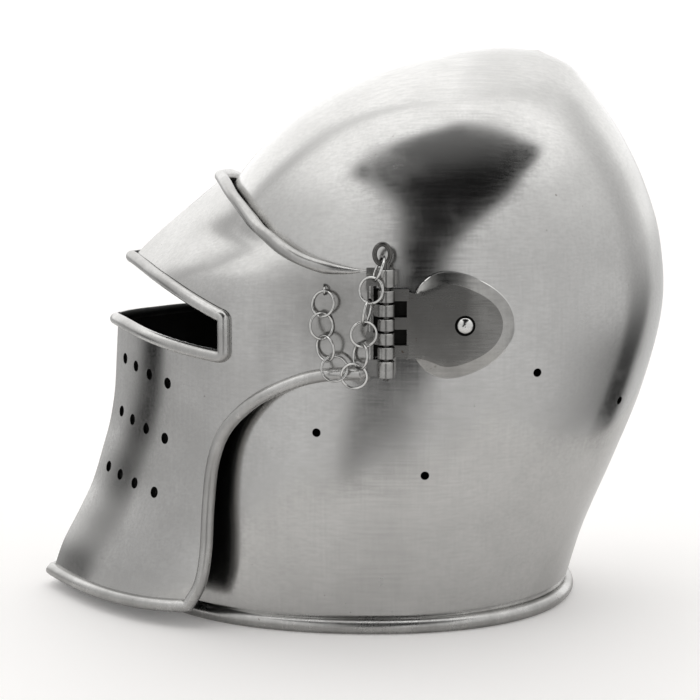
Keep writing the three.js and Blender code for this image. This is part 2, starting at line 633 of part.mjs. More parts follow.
/** Outline of the pivot plate's leaf about the rivet, as [back, up] pairs. */
function leafOutline(inset) {
  const { centre, round, tip, waist, tongue, steps } = PLATE;
  const points = range(steps + 1).map((k) => {
    const angle = ((k / steps) * 2 - 1) * 2.36;
    const bulge = Math.cos(angle) > 0 ? tip * Math.cos(angle) ** 4 : -waist * Math.cos(angle) ** 2;
    const size = round + bulge - inset;
    return [centre + size * Math.cos(angle), size * Math.sin(angle)];
  });
  const front = HINGE_LEAF.plateEdge - PIVOT.y;
  return [[front, -tongue], ...points.filter(([back]) => back > centre - 17), [front, tongue]];
}

/** Pivot plate: leaf with a dished border, tongue, barrels and a sunk rivet hole. */
function makePlate(side) {
  const bow = (x, back, up) => side * (x - PLATE.bowBack * Math.max(0, back) ** 2 - PLATE.bowUp * up * up);
  const at = (x) => ([back, up]) => new THREE.Vector3(bow(x, back, up), PIVOT.y + back, PIVOT.z + up);
  const outline = leafOutline(0);
  const inner = leafOutline(PLATE.border);
  const last = outline.length - 1;
  for (const k of [0, last]) inner[k] = outline[k];
  const loops = [
    outline.map(at(PLATE.x)), outline.map(at(PLATE.x + PLATE.edge)), inner.map(at(PLATE.x + PLATE.thick)),
  ];
  for (const k of [0, last]) loops[1][k].x = mix(loops[0][k].x, loops[2][k].x, 0.5);
  const count = outline.length;
  const flat = (loop) => loop.map(([back, up]) => new THREE.Vector2(back, up));
  const backFaces = THREE.ShapeUtils.triangulateShape(flat(outline), []);
  const topFaces = THREE.ShapeUtils.triangulateShape(flat(inner), []);
  const faces = [
    ...backFaces.map(([a, b, c]) => [a, c, b]),
    ...topFaces.map((face) => face.map((k) => k + 2 * count)),
    ...gridFaces(3, count, true),
  ];
  const x = PLATE.x + PLATE.thick;
  const across = (from, to, radius, sides) => bar(
    new THREE.Vector3(side * from, PIVOT.y, PIVOT.z), new THREE.Vector3(side * to, PIVOT.y, PIVOT.z), radius, sides,
  );
  let body = solid(loops.flat(), faces)
    .subtract(across(PLATE.x - 4, x + 4, RIVET.hole, 12))
    .subtract(across(x - RIVET.sinkDepth, x + 4, RIVET.sink, 16));
  for (const each of BARRELS.filter(({ of }) => of === 'plate')) {
    body = body.add(barrel(each, side, HINGE_LEAF.plateEdge));
  }
  return body;
}

/** Rivet fixed in the skull: domed head over the plate, shank and tail inside. */
function makeRivet(side) {
  const inside = skullAt(PIVOT.y, PIVOT.z).point.x - STEEL - 1.4;
  const seat = PLATE.x + PLATE.thick - RIVET.sinkDepth + 0.3;
  const { shank, head, dome, tail } = RIVET;
  const profile = [
    [0, inside - 1.4], [tail - 0.8, inside - 1.4], [tail, inside - 0.6], [tail, inside], [shank, inside],
    [shank, seat], [head, seat], [head, seat + 0.5], [head * 0.82, seat + dome * 0.75],
    [head * 0.45, seat + dome], [head * 0.3, seat + dome - 0.25], [0, seat + dome - 0.35],
  ];
  const lathe = new THREE.LatheGeometry(profile.map(([r, x]) => new THREE.Vector2(r, x)), 12);
  const turn = new THREE.Matrix4().makeRotationZ(side * -Math.PI / 2).setPosition(0, PIVOT.y, PIVOT.z);
  return solidOf(lathe, turn);
}

/** Hinge pin with the eye that holds the last link. */
function makePin(side) {
  const { y, z, halfY, halfZ, rod: thick } = PIN_EYE;
  const neck = z - halfZ * 0.82;
  const shaft = bar(
    new THREE.Vector3(side * HINGE.x, HINGE.y, PIN.foot), new THREE.Vector3(side * HINGE.x, HINGE.y, neck),
    PIN.radius, PIN.sides,
  );
  const eye = range(12).map((i) => {
    const angle = (i / 12) * 2 * Math.PI;
    return new THREE.Vector3(side * HINGE.x, y + halfY * Math.cos(angle), z + halfZ * Math.sin(angle));
  });
  return shaft.add(rod(eye, thick, { sides: 6, closed: true }));
}

/** One link of the chain. */
function makeLink({ x, y, z, lean, turn }, side) {
  const ring = new THREE.TorusGeometry(LINK.radius, LINK.wire, LINK.sides, LINK.segments);
  const [up, round] = [lean, turn].map(THREE.MathUtils.degToRad);
  const axis = new THREE.Vector3(
    side * Math.cos(up) * Math.cos(round), Math.cos(up) * Math.sin(round), Math.sin(up),
  );
  const spin = new THREE.Quaternion().setFromUnitVectors(new THREE.Vector3(0, 0, 1), axis);
  const place = new THREE.Matrix4().makeRotationFromQuaternion(spin).setPosition(side * x, y, z);
  return solidOf(ring, place);
}

const bascinet = new THREE.Group();
bascinet.name = 'bascinet';
bascinet.add(meshOf('skull', makeSkull(), STEEL_BRIGHT.clone()));
const face = new THREE.Group();
face.name = 'face';
face.add(meshOf('visor', makeVisor(), STEEL_BRIGHT.clone()));
for (const [side, hand] of [[LEFT, 'left'], [RIGHT, 'right']]) {
  bascinet.add(meshOf(`pivot_rivet_${hand}`, makeRivet(side), STEEL_WIRE.clone()));
  face.add(meshOf(`pivot_plate_${hand}`, makePlate(side), STEEL_DARK.clone()));
  face.add(meshOf(`hinge_pin_${hand}`, makePin(side), STEEL_DARK.clone()));
  CHAIN.forEach((link, k) => {
    const name = `chain_${hand}_${String(k + 1).padStart(2, '0')}`;
    face.add(meshOf(name, makeLink(link, side), STEEL_WIRE.clone()));
  });
}
bascinet.add(face);

export default bascinet;
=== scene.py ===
"""Polished steel bascinet: a rolled-rim skull and a keeled visor that lifts on two side rivets.

Sizes in the classes are millimetres in the row frame: the face looks along -Y, the wearer's left
is +X and the rim stands on Z = 0. Meshes are made in metres.
"""
import logging
import math
from bisect import bisect_right
from dataclasses import dataclass, field
from enum import Enum
from functools import reduce
from typing import Sequence

import bmesh
import bpy
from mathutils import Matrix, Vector


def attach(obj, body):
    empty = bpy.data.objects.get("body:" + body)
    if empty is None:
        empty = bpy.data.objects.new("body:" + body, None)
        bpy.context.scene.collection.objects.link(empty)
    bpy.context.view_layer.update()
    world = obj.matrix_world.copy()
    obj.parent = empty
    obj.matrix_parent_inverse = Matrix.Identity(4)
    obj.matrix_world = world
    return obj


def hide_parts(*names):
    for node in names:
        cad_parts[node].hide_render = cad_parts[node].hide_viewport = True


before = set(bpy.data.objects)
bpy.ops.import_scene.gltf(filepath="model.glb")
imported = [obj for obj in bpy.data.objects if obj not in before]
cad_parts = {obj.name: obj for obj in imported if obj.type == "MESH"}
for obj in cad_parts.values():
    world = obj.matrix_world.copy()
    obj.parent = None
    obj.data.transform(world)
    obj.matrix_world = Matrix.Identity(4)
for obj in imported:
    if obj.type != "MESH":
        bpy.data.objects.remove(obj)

Pair = tuple[float, float]
Piece = bpy.types.Object
Socket = bpy.types.NodeSocket

LOG = logging.getLogger("bascinet")
MM = 0.001
STEEL = 1.8
TURN = 2 * math.pi
UP = Vector((0, 0, 1))
ORIGIN = (0, 0, 0)
PIVOT = (59.6, 168.0)
SCRATCH_TONE = 0.72
WEAR_ROUGHNESS = 0.06
# Colour of the painted shade on round pieces where they turn away from the view.
GRAZING_SHADE_COLOUR = (0.03, 0.029, 0.028, 1)
RUST_COLOUR = (0.09, 0.06, 0.045, 1)
# Colour that the visor darkens to round the hinge.
HINGE_DARK_COLOUR = (0.10, 0.096, 0.09, 1)
# Middle of the darkening round the hinge, and the distances where it starts and is full, in metres.
HINGE_DARK_PLACE = (0, 0.006, 0.172)
HINGE_DARK_REACH = (0.055, 0.008)


class Side(Enum):
    """Side of the wearer, as the sign of X."""

    LEFT = 1
    RIGHT = -1

    @property
    def hand(self) -> str:
        """Word used in the names of pieces."""
        return self.name.lower()

    def at(self, x: float, y: float, z: float) -> Vector:
        """Point on this side."""
        return Vector((self.value * x, y, z))


class Body(Enum):
    """Moving bodies of the frame."""

    SKULL = "skull_body"
    VISOR = "visor_body"


class Lip(Enum):
    """Lip of the sight, as the way from it into the opening."""

    LOWER = 1
    UPPER = -1


class Owner(Enum):
    """Piece that some barrels of a hinge belong to."""

    VISOR = "visor"
    PLATE = "plate"


def mix(low: float, high: float, share: float) -> float:
    """Value that lies a share of the way between two others."""
    return low + (high - low) * share


def clamp(value: float, low: float, high: float) -> float:
    """Value held between two limits."""
    return min(high, max(low, value))


@dataclass
class Curve:
    """Monotone curve through points of rising key, straight beyond its ends."""

    keys: tuple[float, ...]
    values: tuple[float, ...]
    slopes: tuple[float, ...] = ()

    def __post_init__(self) -> None:
        """Works out the slope at every point."""
        rises = [b - a for a, b in zip(self.values, self.values[1:])]
        chords = [rise / (b - a) for rise, a, b in zip(rises, self.keys, self.keys[1:])]
        inner = [0.0 if a * b <= 0 else 2 * a * b / (a + b) for a, b in zip(chords, chords[1:])]
        self.slopes = (chords[0], *inner, chords[-1])

    def at(self, key: float) -> float:
        """Value of the curve.

        Args:
            key: place along the curve.

        Returns:
            The value there.
        """
        keys, values, slopes = self.keys, self.values, self.slopes
        if key <= keys[0]:
            return values[0] + slopes[0] * (key - keys[0])
        if key >= keys[-1]:
            return values[-1] + slopes[-1] * (key - keys[-1])
        i = bisect_right(keys, key) - 1
        step = keys[i + 1] - keys[i]
        t = (key - keys[i]) / step
        rise, first, last = values[i + 1] - values[i], slopes[i], slopes[i + 1]
        bend = step * (first + last) - 2 * rise
        return values[i] + t * (step * first + t * (3 * rise - step * (2 * first + last) + t * bend))


def row_at(rows: Sequence[Sequence[float]], place: float) -> list[float]:
    """Smooth value of every column at a fractional row number.

    Args:
        rows: table of equal rows.
        place: row number, with its fraction.

    Returns:
        The columns' values there.
    """
    i = int(clamp(math.floor(place), 0, len(rows) - 2))
    t = place - i
    out = []
    for k, (b, c) in enumerate(zip(rows[i], rows[i + 1])):
        a = rows[i - 1][k] if i > 0 else 2 * b - c
        d = rows[i + 2][k] if i + 2 < len(rows) else 2 * c - b
        out.append(0.5 * (2 * b + (c - a) * t + (2 * a - 5 * b + 4 * c - d) * t * t
                          + (3 * b - a - 3 * c + d) * t ** 3))
    return out


def bead_section(radius: float, centre: float, segments: int) -> list[Pair]:
    """Section of a rolled edge, from the outer face of the sheet round to its inner face.

    Args:
        radius: radius of the bead.
        centre: how far its centre stands out from the middle of the sheet.
        segments: number of facets.

    Returns:
        Pairs of distance out of the sheet's middle and distance past its edge.
    """
    half = STEEL / 2
    start = -math.acos((half - centre) / radius)
    stop = TURN - math.acos((-half - centre) / radius)
    angles = [mix(start, stop, q / segments) for q in range(segments + 1)]
    return [(centre + radius * math.cos(a), radius * math.sin(a)) for a in angles]


def circle(centre: Vector, across: Vector, other: Vector, count: int) -> list[Vector]:
    """Points round an ellipse, from its centre and its two half axes."""
    turns = [TURN * j / count for j in range(count)]
    return [centre + math.cos(a) * across + math.sin(a) * other for a in turns]


def oblong(x: Pair, y: Pair) -> list[Pair]:
    """Corners of an oblong, from its span along X and along Y."""
    return [(x[0], y[0]), (x[1], y[0]), (x[1], y[1]), (x[0], y[1])]


class Draft:
    """Points and faces of one mesh, in millimetres."""

    def __init__(self) -> None:
        """Starts with no points."""
        self.points: list[Vector] = []
        self.faces: list[tuple[int, ...]] = []
        self.finishes: list[int] = []

    def add(self, points: Sequence[Vector]) -> list[int]:
        """Adds points and gives their numbers."""
        self.points.extend(points)
        return list(range(len(self.points) - len(points), len(self.points)))

    def skin(self, faces: Sequence[Sequence[int]], finish: int = 0) -> None:
        """Adds faces that share a finish."""
        self.faces.extend(tuple(face) for face in faces)
        self.finishes.extend(finish for _ in faces)

    def grid(self, rows: Sequence[Sequence[int]], wrap: bool = False, finish: int = 0) -> None:
        """Adds the faces between rows of point numbers.

        Args:
            rows: point numbers, row by row; a row may be one point again and again.
            wrap: whether each row closes on itself.
            finish: number of the finish that the faces take.
        """
        for low, high in zip(rows, rows[1:]):
            count = len(low)
            for j in range(count if wrap else count - 1):
                k = (j + 1) % count
                corners = tuple(dict.fromkeys((low[j], low[k], high[k], high[j])))
                if len(corners) > 2:
                    self.skin([corners], finish)

    def rod(self, path: Sequence[Vector], radius: float, sides: int, closed: bool = False) -> None:
        """Adds a round rod along a path.

        Args:
            path: centres of the rod's rings.
            radius: radius of the rod.
            sides: facets round it.
            closed: whether the path closes on itself.
        """
        count = len(path)
        up = None
        rings = []
        for i, centre in enumerate(path):
            before = path[i - 1 if closed else max(i - 1, 0)]
            after = path[(i + 1) % count if closed else min(i + 1, count - 1)]
            along = (after - before).normalized()
            if up is None:
                up = Vector((1, 0, 0)) if abs(along.x) < 0.8 else UP
            up = (up - along * up.dot(along)).normalized()
            rings.append(self.add(circle(centre, radius * up, radius * along.cross(up), sides)))
        if closed:
            first, end = rings[0], self.points[rings[-1][0]]
            shift = min(range(sides), key=lambda s: (self.points[first[s]] - end).length)
            rings.append(first[shift:] + first[:shift])
        else:
            self.skin([rings[0][::-1], rings[-1]])
        self.grid(rings, wrap=True)

    def lathe(self, profile: Sequence[Pair], centre: Vector, axis: Vector, sides: int) -> None:
        """Adds a turned piece.

        Args:
            profile: radius and height pairs; it closes on itself or starts and ends on the axis.
            centre: foot of the axis.
            axis: unit direction of the axis.
            sides: facets round it.
        """
        across = axis.orthogonal().normalized()
        other = axis.cross(across)
        rings = []
        for radius, height in profile:
            level = centre + axis * height
            if radius == 0:
                rings.append(self.add([level]) * sides)
            else:
                rings.append(self.add(circle(level, radius * across, radius * other, sides)))
        self.grid(rings, wrap=True)

    def prism(self, outline: Sequence[Vector], along: Vector, finish: int = 0) -> None:
        """Adds a prism.

        Args:
            outline: points of one end.
            along: way from that end to the other.
            finish: number of the finish that its faces take.
        """
        low, high = self.add(outline), self.add([point + along for point in outline])
        self.grid([low, high], wrap=True, finish=finish)
        self.skin([low[::-1], high], finish)

    def post(self, side: Side, plan: Sequence[Pair], bottom: float, top: float, finish: int = 0) -> None:
        """Adds an upright prism over a plan of X and Y."""
        self.prism([side.at(x, y, bottom) for x, y in plan], UP * (top - bottom), finish)

    def build(self, name: str, materials: Sequence[bpy.types.Material], crease: float = 32.0) -> Piece:
        """Makes the object.

        Args:
            name: name of the object and its mesh.
            materials: its materials, in the order of the finishes' numbers.
            crease: angle in degrees past which an edge is sharp.

        Returns:
            The object, in metres.
        """
        mesh = bpy.data.meshes.new(name)
        mesh.from_pydata([tuple(point * MM) for point in self.points], [], self.faces)
        for material in materials:
            mesh.materials.append(material)
        for face, finish in zip(mesh.polygons, self.finishes):
            face.material_index = finish
        obj = bpy.data.objects.new(name, mesh)
        bpy.context.scene.collection.objects.link(obj)
        smooth(obj, crease)
        return obj


def smooth(obj: Piece, crease: float) -> None:
    """Turns the faces out and shades them smooth between sharp edges.

    Args:
        obj: the object.
        crease: angle in degrees past which an edge is sharp.
    """
    shape = bmesh.new()
    shape.from_mesh(obj.data)
    bmesh.ops.recalc_face_normals(shape, faces=shape.faces)
    for face in shape.faces:
        face.smooth = True
    for edge in shape.edges:
        edge.smooth = edge.calc_face_angle(0.0) < math.radians(crease)
    shape.to_mesh(obj.data)
    shape.free()


def cut(obj: Piece, cutter: Draft, crease: float = 32.0) -> None:
    """Cuts a draft's shapes out of an object; the walls of the cut take the object's second finish, which is
    near black as painted shade in the cut.

    Args:
        obj: the object that is cut.
        cutter: the shapes that are taken away.
        crease: angle in degrees past which an edge is sharp afterwards.
    """
    tool = cutter.build("cutter", list(obj.data.materials))
    for face in tool.data.polygons:
        face.material_index = 1
    modifier = obj.modifiers.new("cut", "BOOLEAN")
    modifier.operation = "DIFFERENCE"
    modifier.solver = "EXACT"
    modifier.object = tool
    bpy.context.view_layer.update()
    graph = bpy.context.evaluated_depsgraph_get()
    mesh = bpy.data.meshes.new_from_object(obj.evaluated_get(graph))
    obj.modifiers.clear()
    obj.data = mesh
    bpy.data.objects.remove(tool)
    smooth(obj, crease)


class Graph:
    """Short way to wire a node tree."""

    def __init__(self, tree: bpy.types.NodeTree) -> None:
        """Empties the tree and keeps it."""
        tree.nodes.clear()
        self.tree = tree

    def node(self, kind: str, sockets: dict | None = None, **settings: object) -> bpy.types.Node:
        """Adds a node.

        Args:
            kind: type of the node.
            sockets: values or links of its inputs, by name or number.
            **settings: properties of the node.

        Returns:
            The node.
        """
        node = self.tree.nodes.new(kind)
        for name, value in settings.items():
            setattr(node, name, value)
        for name, value in (sockets or {}).items():
            if isinstance(value, Socket):
                self.tree.links.new(value, node.inputs[name])
            else:
                node.inputs[name].default_value = value
        return node

    def group(self, tree: bpy.types.NodeTree, **sockets: object) -> bpy.types.NodeOutputs:
        """Outputs of a shared node group with its inputs set."""
        return self.node("ShaderNodeGroup", sockets, node_tree=tree).outputs

    def math(self, operation: str, *values: object) -> Socket:
        """Result of a Math node."""
        return self.node("ShaderNodeMath", dict(enumerate(values)), operation=operation).outputs[0]

    def product(self, *values: object) -> Socket:
        """Product of numbers and links."""
        return reduce(lambda first, second: self.math("MULTIPLY", first, second), values)

    def ramp(self, value: object, low: float, high: float, start: object = 0, stop: object = 1) -> Socket:
        """Smooth step of a value, from start where it is low to stop where it is high."""
        sockets = {"Value": value, "From Min": low, "From Max": high, "To Min": start, "To Max": stop}
        return self.node("ShaderNodeMapRange", sockets, interpolation_type="SMOOTHSTEP").outputs[0]

    def noise(self, place: Socket, scale: object, detail: float, roughness: float = 0.5) -> Socket:
        """Noise between 0 and 1."""
        sockets = {"Vector": place, "Scale": scale, "Detail": detail, "Roughness": roughness}
        return self.node("ShaderNodeTexNoise", sockets).outputs[0]

    def mix(self, share: object, first: object, second: object) -> Socket:
        """Value that lies a share of the way between two others."""
        return self.node("ShaderNodeMix", {0: share, 2: first, 3: second}, data_type="FLOAT").outputs[0]

    def blend(self, share: object, first: object, second: object) -> Socket:
        """Colour that lies a share of the way between two others."""
        return self.node("ShaderNodeMix", {0: share, 6: first, 7: second}, data_type="RGBA").outputs[2]


def make_group(name: str, outputs: Sequence[str], **inputs: object) -> tuple[Graph, bpy.types.NodeOutputs]:
    """Starts a node group.

    Args:
        name: name of the group.
        outputs: names of its outputs, which are floats.
        **inputs: default of each input, a float or a vector.

    Returns:
        Its graph, and the sockets that bring its inputs.
    """
    tree = bpy.data.node_groups.new(name, "ShaderNodeTree")
    for title, value in inputs.items():
        kind = "NodeSocketVector" if value is ORIGIN else "NodeSocketFloat"
        tree.interface.new_socket(name=title, in_out="INPUT", socket_type=kind).default_value = value
    for title in outputs:
        tree.interface.new_socket(name=title, in_out="OUTPUT", socket_type="NodeSocketFloat")
    graph = Graph(tree)
    return graph, graph.node("NodeGroupInput").outputs


def brushing_group() -> bpy.types.NodeTree:
    """Fine scratches of a brushed surface, in two crossing directions.

    Returns:
        A group that gives a scratch value and a height.
    """
    graph, source = make_group("brushing", ("Scratch", "Height"), Vector=ORIGIN, Scale=600.0, Stretch=24.0,
                               Cross=0.4)
    full = list(graph.node("ShaderNodeSeparateXYZ", {0: source["Vector"]}).outputs)
    streaks = []
    for axis in (1, 2):
        parts = list(full)
        parts[axis] = graph.math("DIVIDE", full[axis], source["Stretch"])
        drawn = graph.node("ShaderNodeCombineXYZ", dict(enumerate(parts))).outputs[0]
        streaks.append(graph.noise(drawn, source["Scale"], 3.0, 0.6))
    crossed = graph.mix(source["Cross"], *streaks)
    graph.node("NodeGroupOutput", {"Scratch": graph.ramp(crossed, 0.3, 0.7), "Height": crossed})
    return graph.tree


def clouding_group() -> bpy.types.NodeTree:
    """Slow variation of tone left by hand polishing, and the soft waves of hammered sheet.

    Returns:
        A group that gives a cloud value and a wave height.
    """
    graph, source = make_group("clouding", ("Cloud", "Wave"), Vector=ORIGIN)
    cloud = graph.noise(source["Vector"], 22.0, 5.0, 0.62)
    wave = graph.noise(source["Vector"], 16.0, 1.0, 0.4)
    graph.node("NodeGroupOutput", {"Cloud": graph.ramp(cloud, 0.32, 0.68), "Wave": wave})
    return graph.tree


def speckling_group() -> bpy.types.NodeTree:
    """Scattered scuffs and dark specks.

    Returns:
        A group that gives a speck mask and a scuff mask.
    """
    graph, source = make_group("speckling", ("Speck", "Scuff"), Vector=ORIGIN, Amount=0.5)
    dots = graph.noise(source["Vector"], 420.0, 2.0)
    patch = graph.noise(source["Vector"], 34.0, 2.0)
    level = graph.math("MULTIPLY_ADD", source["Amount"], -0.16, 0.8)
    speck = graph.ramp(graph.math("SUBTRACT", dots, level), 0, 0.05)
    speck = graph.product(speck, graph.ramp(patch, 0.5, 0.62))
    graph.node("NodeGroupOutput", {"Speck": speck, "Scuff": graph.ramp(patch, 0.58, 0.75)})
    return graph.tree


def painted_grazing_shade_group() -> bpy.types.NodeTree:
    """Painted shade on round pieces: darker towards their edges, where they turn away from the view.

    Returns:
        A group that gives a mask from the facing value.
    """
    graph, source = make_group("rounding", ("Dark",), Facing=0.0, Amount=0.5)
    graph.node("NodeGroupOutput", {"Dark": graph.ramp(source["Facing"], 0.12, 0.7, 0, source["Amount"])})
    return graph.tree


@dataclass(frozen=True)
class SteelFinish:
    """One finish of bare steel."""

    name: str
    bright: tuple[float, float, float]
    dull: tuple[float, float, float]
    roughness: float
    spread: float = 0.08
    brush_scale: float = 620.0
    stretch: float = 30.0
    streak: float = 0.3
    cross: float = 0.35
    brush_depth: float = 0.02
    wave_depth: float = 0.0
    specks: float = 0.3
    hinge_dark: float = 0.0
    # Strength of the painted shade that darkens round pieces where they turn away from the view.
    edge: float = 0.0

    def material(self, groups: dict[str, bpy.types.NodeTree]) -> bpy.types.Material:
        """Makes the material.

        Args:
            groups: the shared node groups by name.

        Returns:
            The material.
        """
        made = bpy.data.materials.new(self.name)
        made.use_nodes = True
        graph = Graph(made.node_tree)
        place = graph.node("ShaderNodeTexCoord").outputs["Object"]
        brush = graph.group(groups["brushing"], Vector=place, Scale=self.brush_scale, Stretch=self.stretch,
                            Cross=self.cross)
        cloud = graph.group(groups["clouding"], Vector=place)
        speck = graph.group(groups["speckling"], Vector=place, Amount=self.specks)
        tone = graph.blend(cloud["Cloud"], (*self.bright, 1), (*self.dull, 1))
        scratched = tuple(SCRATCH_TONE * part for part in self.dull)
        tone = graph.blend(graph.product(brush["Scratch"], self.streak), tone, (*scratched, 1))
        # Darkens the colour round the hinge, less with distance and unevenly with the clouding.
        if self.hinge_dark:
            parts = graph.node("ShaderNodeSeparateXYZ", {0: place}).outputs
            spot = graph.node("ShaderNodeCombineXYZ", {1: parts[1], 2: parts[2]}).outputs[0]
            way = graph.node("ShaderNodeVectorMath", {0: spot, 1: HINGE_DARK_PLACE}, operation="DISTANCE")
            near = graph.ramp(way.outputs["Value"], *HINGE_DARK_REACH, 0, self.hinge_dark)
            uneven = graph.math("MULTIPLY_ADD", cloud["Cloud"], 0.5, 0.6)
            tone = graph.blend(graph.product(near, uneven), tone, HINGE_DARK_COLOUR)
        # Painted shade: round pieces darken where they turn away from the view.
        if self.edge:
            facing = graph.node("ShaderNodeLayerWeight", {"Blend": 0.5}).outputs["Facing"]
            rim = graph.group(groups["rounding"], Facing=facing, Amount=self.edge)["Dark"]
            tone = graph.blend(rim, tone, GRAZING_SHADE_COLOUR)
        tone = graph.blend(speck["Speck"], tone, RUST_COLOUR)
        rough = graph.math("MULTIPLY_ADD", cloud["Cloud"], self.spread, self.roughness - self.spread / 2)
        for wear in (brush["Scratch"], speck["Scuff"]):
            rough = graph.math("MULTIPLY_ADD", wear, WEAR_ROUGHNESS, rough)
        height = graph.product(brush["Height"], self.brush_depth)
        height = graph.math("MULTIPLY_ADD", cloud["Wave"], self.wave_depth, height)
        bump = graph.node("ShaderNodeBump", {"Height": height, "Strength": 1.0, "Distance": MM})
        shader = graph.node("ShaderNodeBsdfPrincipled", {
            "Base Color": tone, "Roughness": rough, "Normal": bump.outputs[0], "Metallic": 1.0,
        })
        graph.node("ShaderNodeOutputMaterial", {"Surface": shader.outputs[0]})
        return made


BRIGHT = SteelFinish("steel_bright", (0.63, 0.625, 0.615), (0.565, 0.56, 0.55), 0.15, 0.05, brush_scale=750,
                     brush_depth=0.0022, wave_depth=0.2)
VISOR_STEEL = SteelFinish("steel_visor", (0.58, 0.575, 0.565), (0.50, 0.495, 0.485), 0.15, 0.05,
                          brush_scale=750, brush_depth=0.003, wave_depth=0.2, hinge_dark=0.5)
ROLLED = SteelFinish("steel_rolled", (0.60, 0.595, 0.585), (0.42, 0.415, 0.405), 0.26, 0.1,
                     brush_depth=0.012, cross=0.6, specks=0.6)
# Near-black steel for inner faces, the walls of cut holes and the inner side of the sight's edge: painted
# shade, for the shadow inside the helmet and its openings.
SHADED_INSIDE = SteelFinish("steel_inside_shade", (0.02, 0.02, 0.019), (0.012, 0.012, 0.011), 0.6)
DARK = SteelFinish("steel_dark", (0.27, 0.266, 0.258), (0.17, 0.167, 0.16), 0.25, brush_scale=900,
                   brush_depth=0.01, cross=0.1, specks=0.8)
# Lighter copy of the pivot plate's dark steel for its bevelled border: painted sheen, for the light that the
# bevel catches.
BORDER_SHEEN = SteelFinish("steel_border_sheen", (0.50, 0.495, 0.48), (0.32, 0.315, 0.305), 0.2,
                     brush_depth=0.01, specks=0.8)
WIRE = SteelFinish("steel_wire", (0.86, 0.855, 0.84), (0.66, 0.655, 0.64), 0.12, brush_scale=1500,
                   brush_depth=0.006, specks=0.2, edge=0.95)
PIN = SteelFinish("steel_pin", (0.17, 0.167, 0.16), (0.09, 0.088, 0.084), 0.22, brush_depth=0.01, edge=0.6)
KNUCKLE = SteelFinish("steel_knuckle", (0.56, 0.555, 0.54), (0.28, 0.276, 0.268), 0.18, brush_depth=0.01,
                      specks=0.7, edge=0.4)


class Smithy:
    """Dresses the pieces and ties them to the frame."""

    def __init__(self) -> None:
        """Makes the shared node groups."""
        trees = (brushing_group(), clouding_group(), speckling_group(), painted_grazing_shade_group())
        self.groups = {tree.name: tree for tree in trees}
        self.made: dict[str, bpy.types.Material] = {}

    def materials(self, *finishes: SteelFinish) -> list[bpy.types.Material]:
        """Gives the materials of finishes, each made at its first use.

        Args:
            *finishes: the finishes.

        Returns:
            Their materials.
        """
        for finish in finishes:
            if finish.name not in self.made:
                self.made[finish.name] = finish.material(self.groups)
        return [self.made[finish.name] for finish in finishes]

    def place(self, obj: Piece, body: Body, slot: str, *nodes: str) -> None:
        """Hides the frame's nodes that a piece stands for and lets it ride on its body.

        Args:
            obj: the piece.
            body: the body that it moves with.
            slot: the record's material slot, which is not used.
            *nodes: the frame's nodes that it stands for.
        """
        if nodes:
            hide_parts(*nodes)
        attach(obj, body.value)
        LOG.info("built %s, %d faces", obj.name, len(obj.data.polygons))


@dataclass
class Part:
    """Sub-assembly, with the smithy that dresses its pieces."""

    smithy: Smithy


@dataclass
class SidePart(Part):
    """Sub-assembly that stands once on each side of the wearer."""

    side: Side


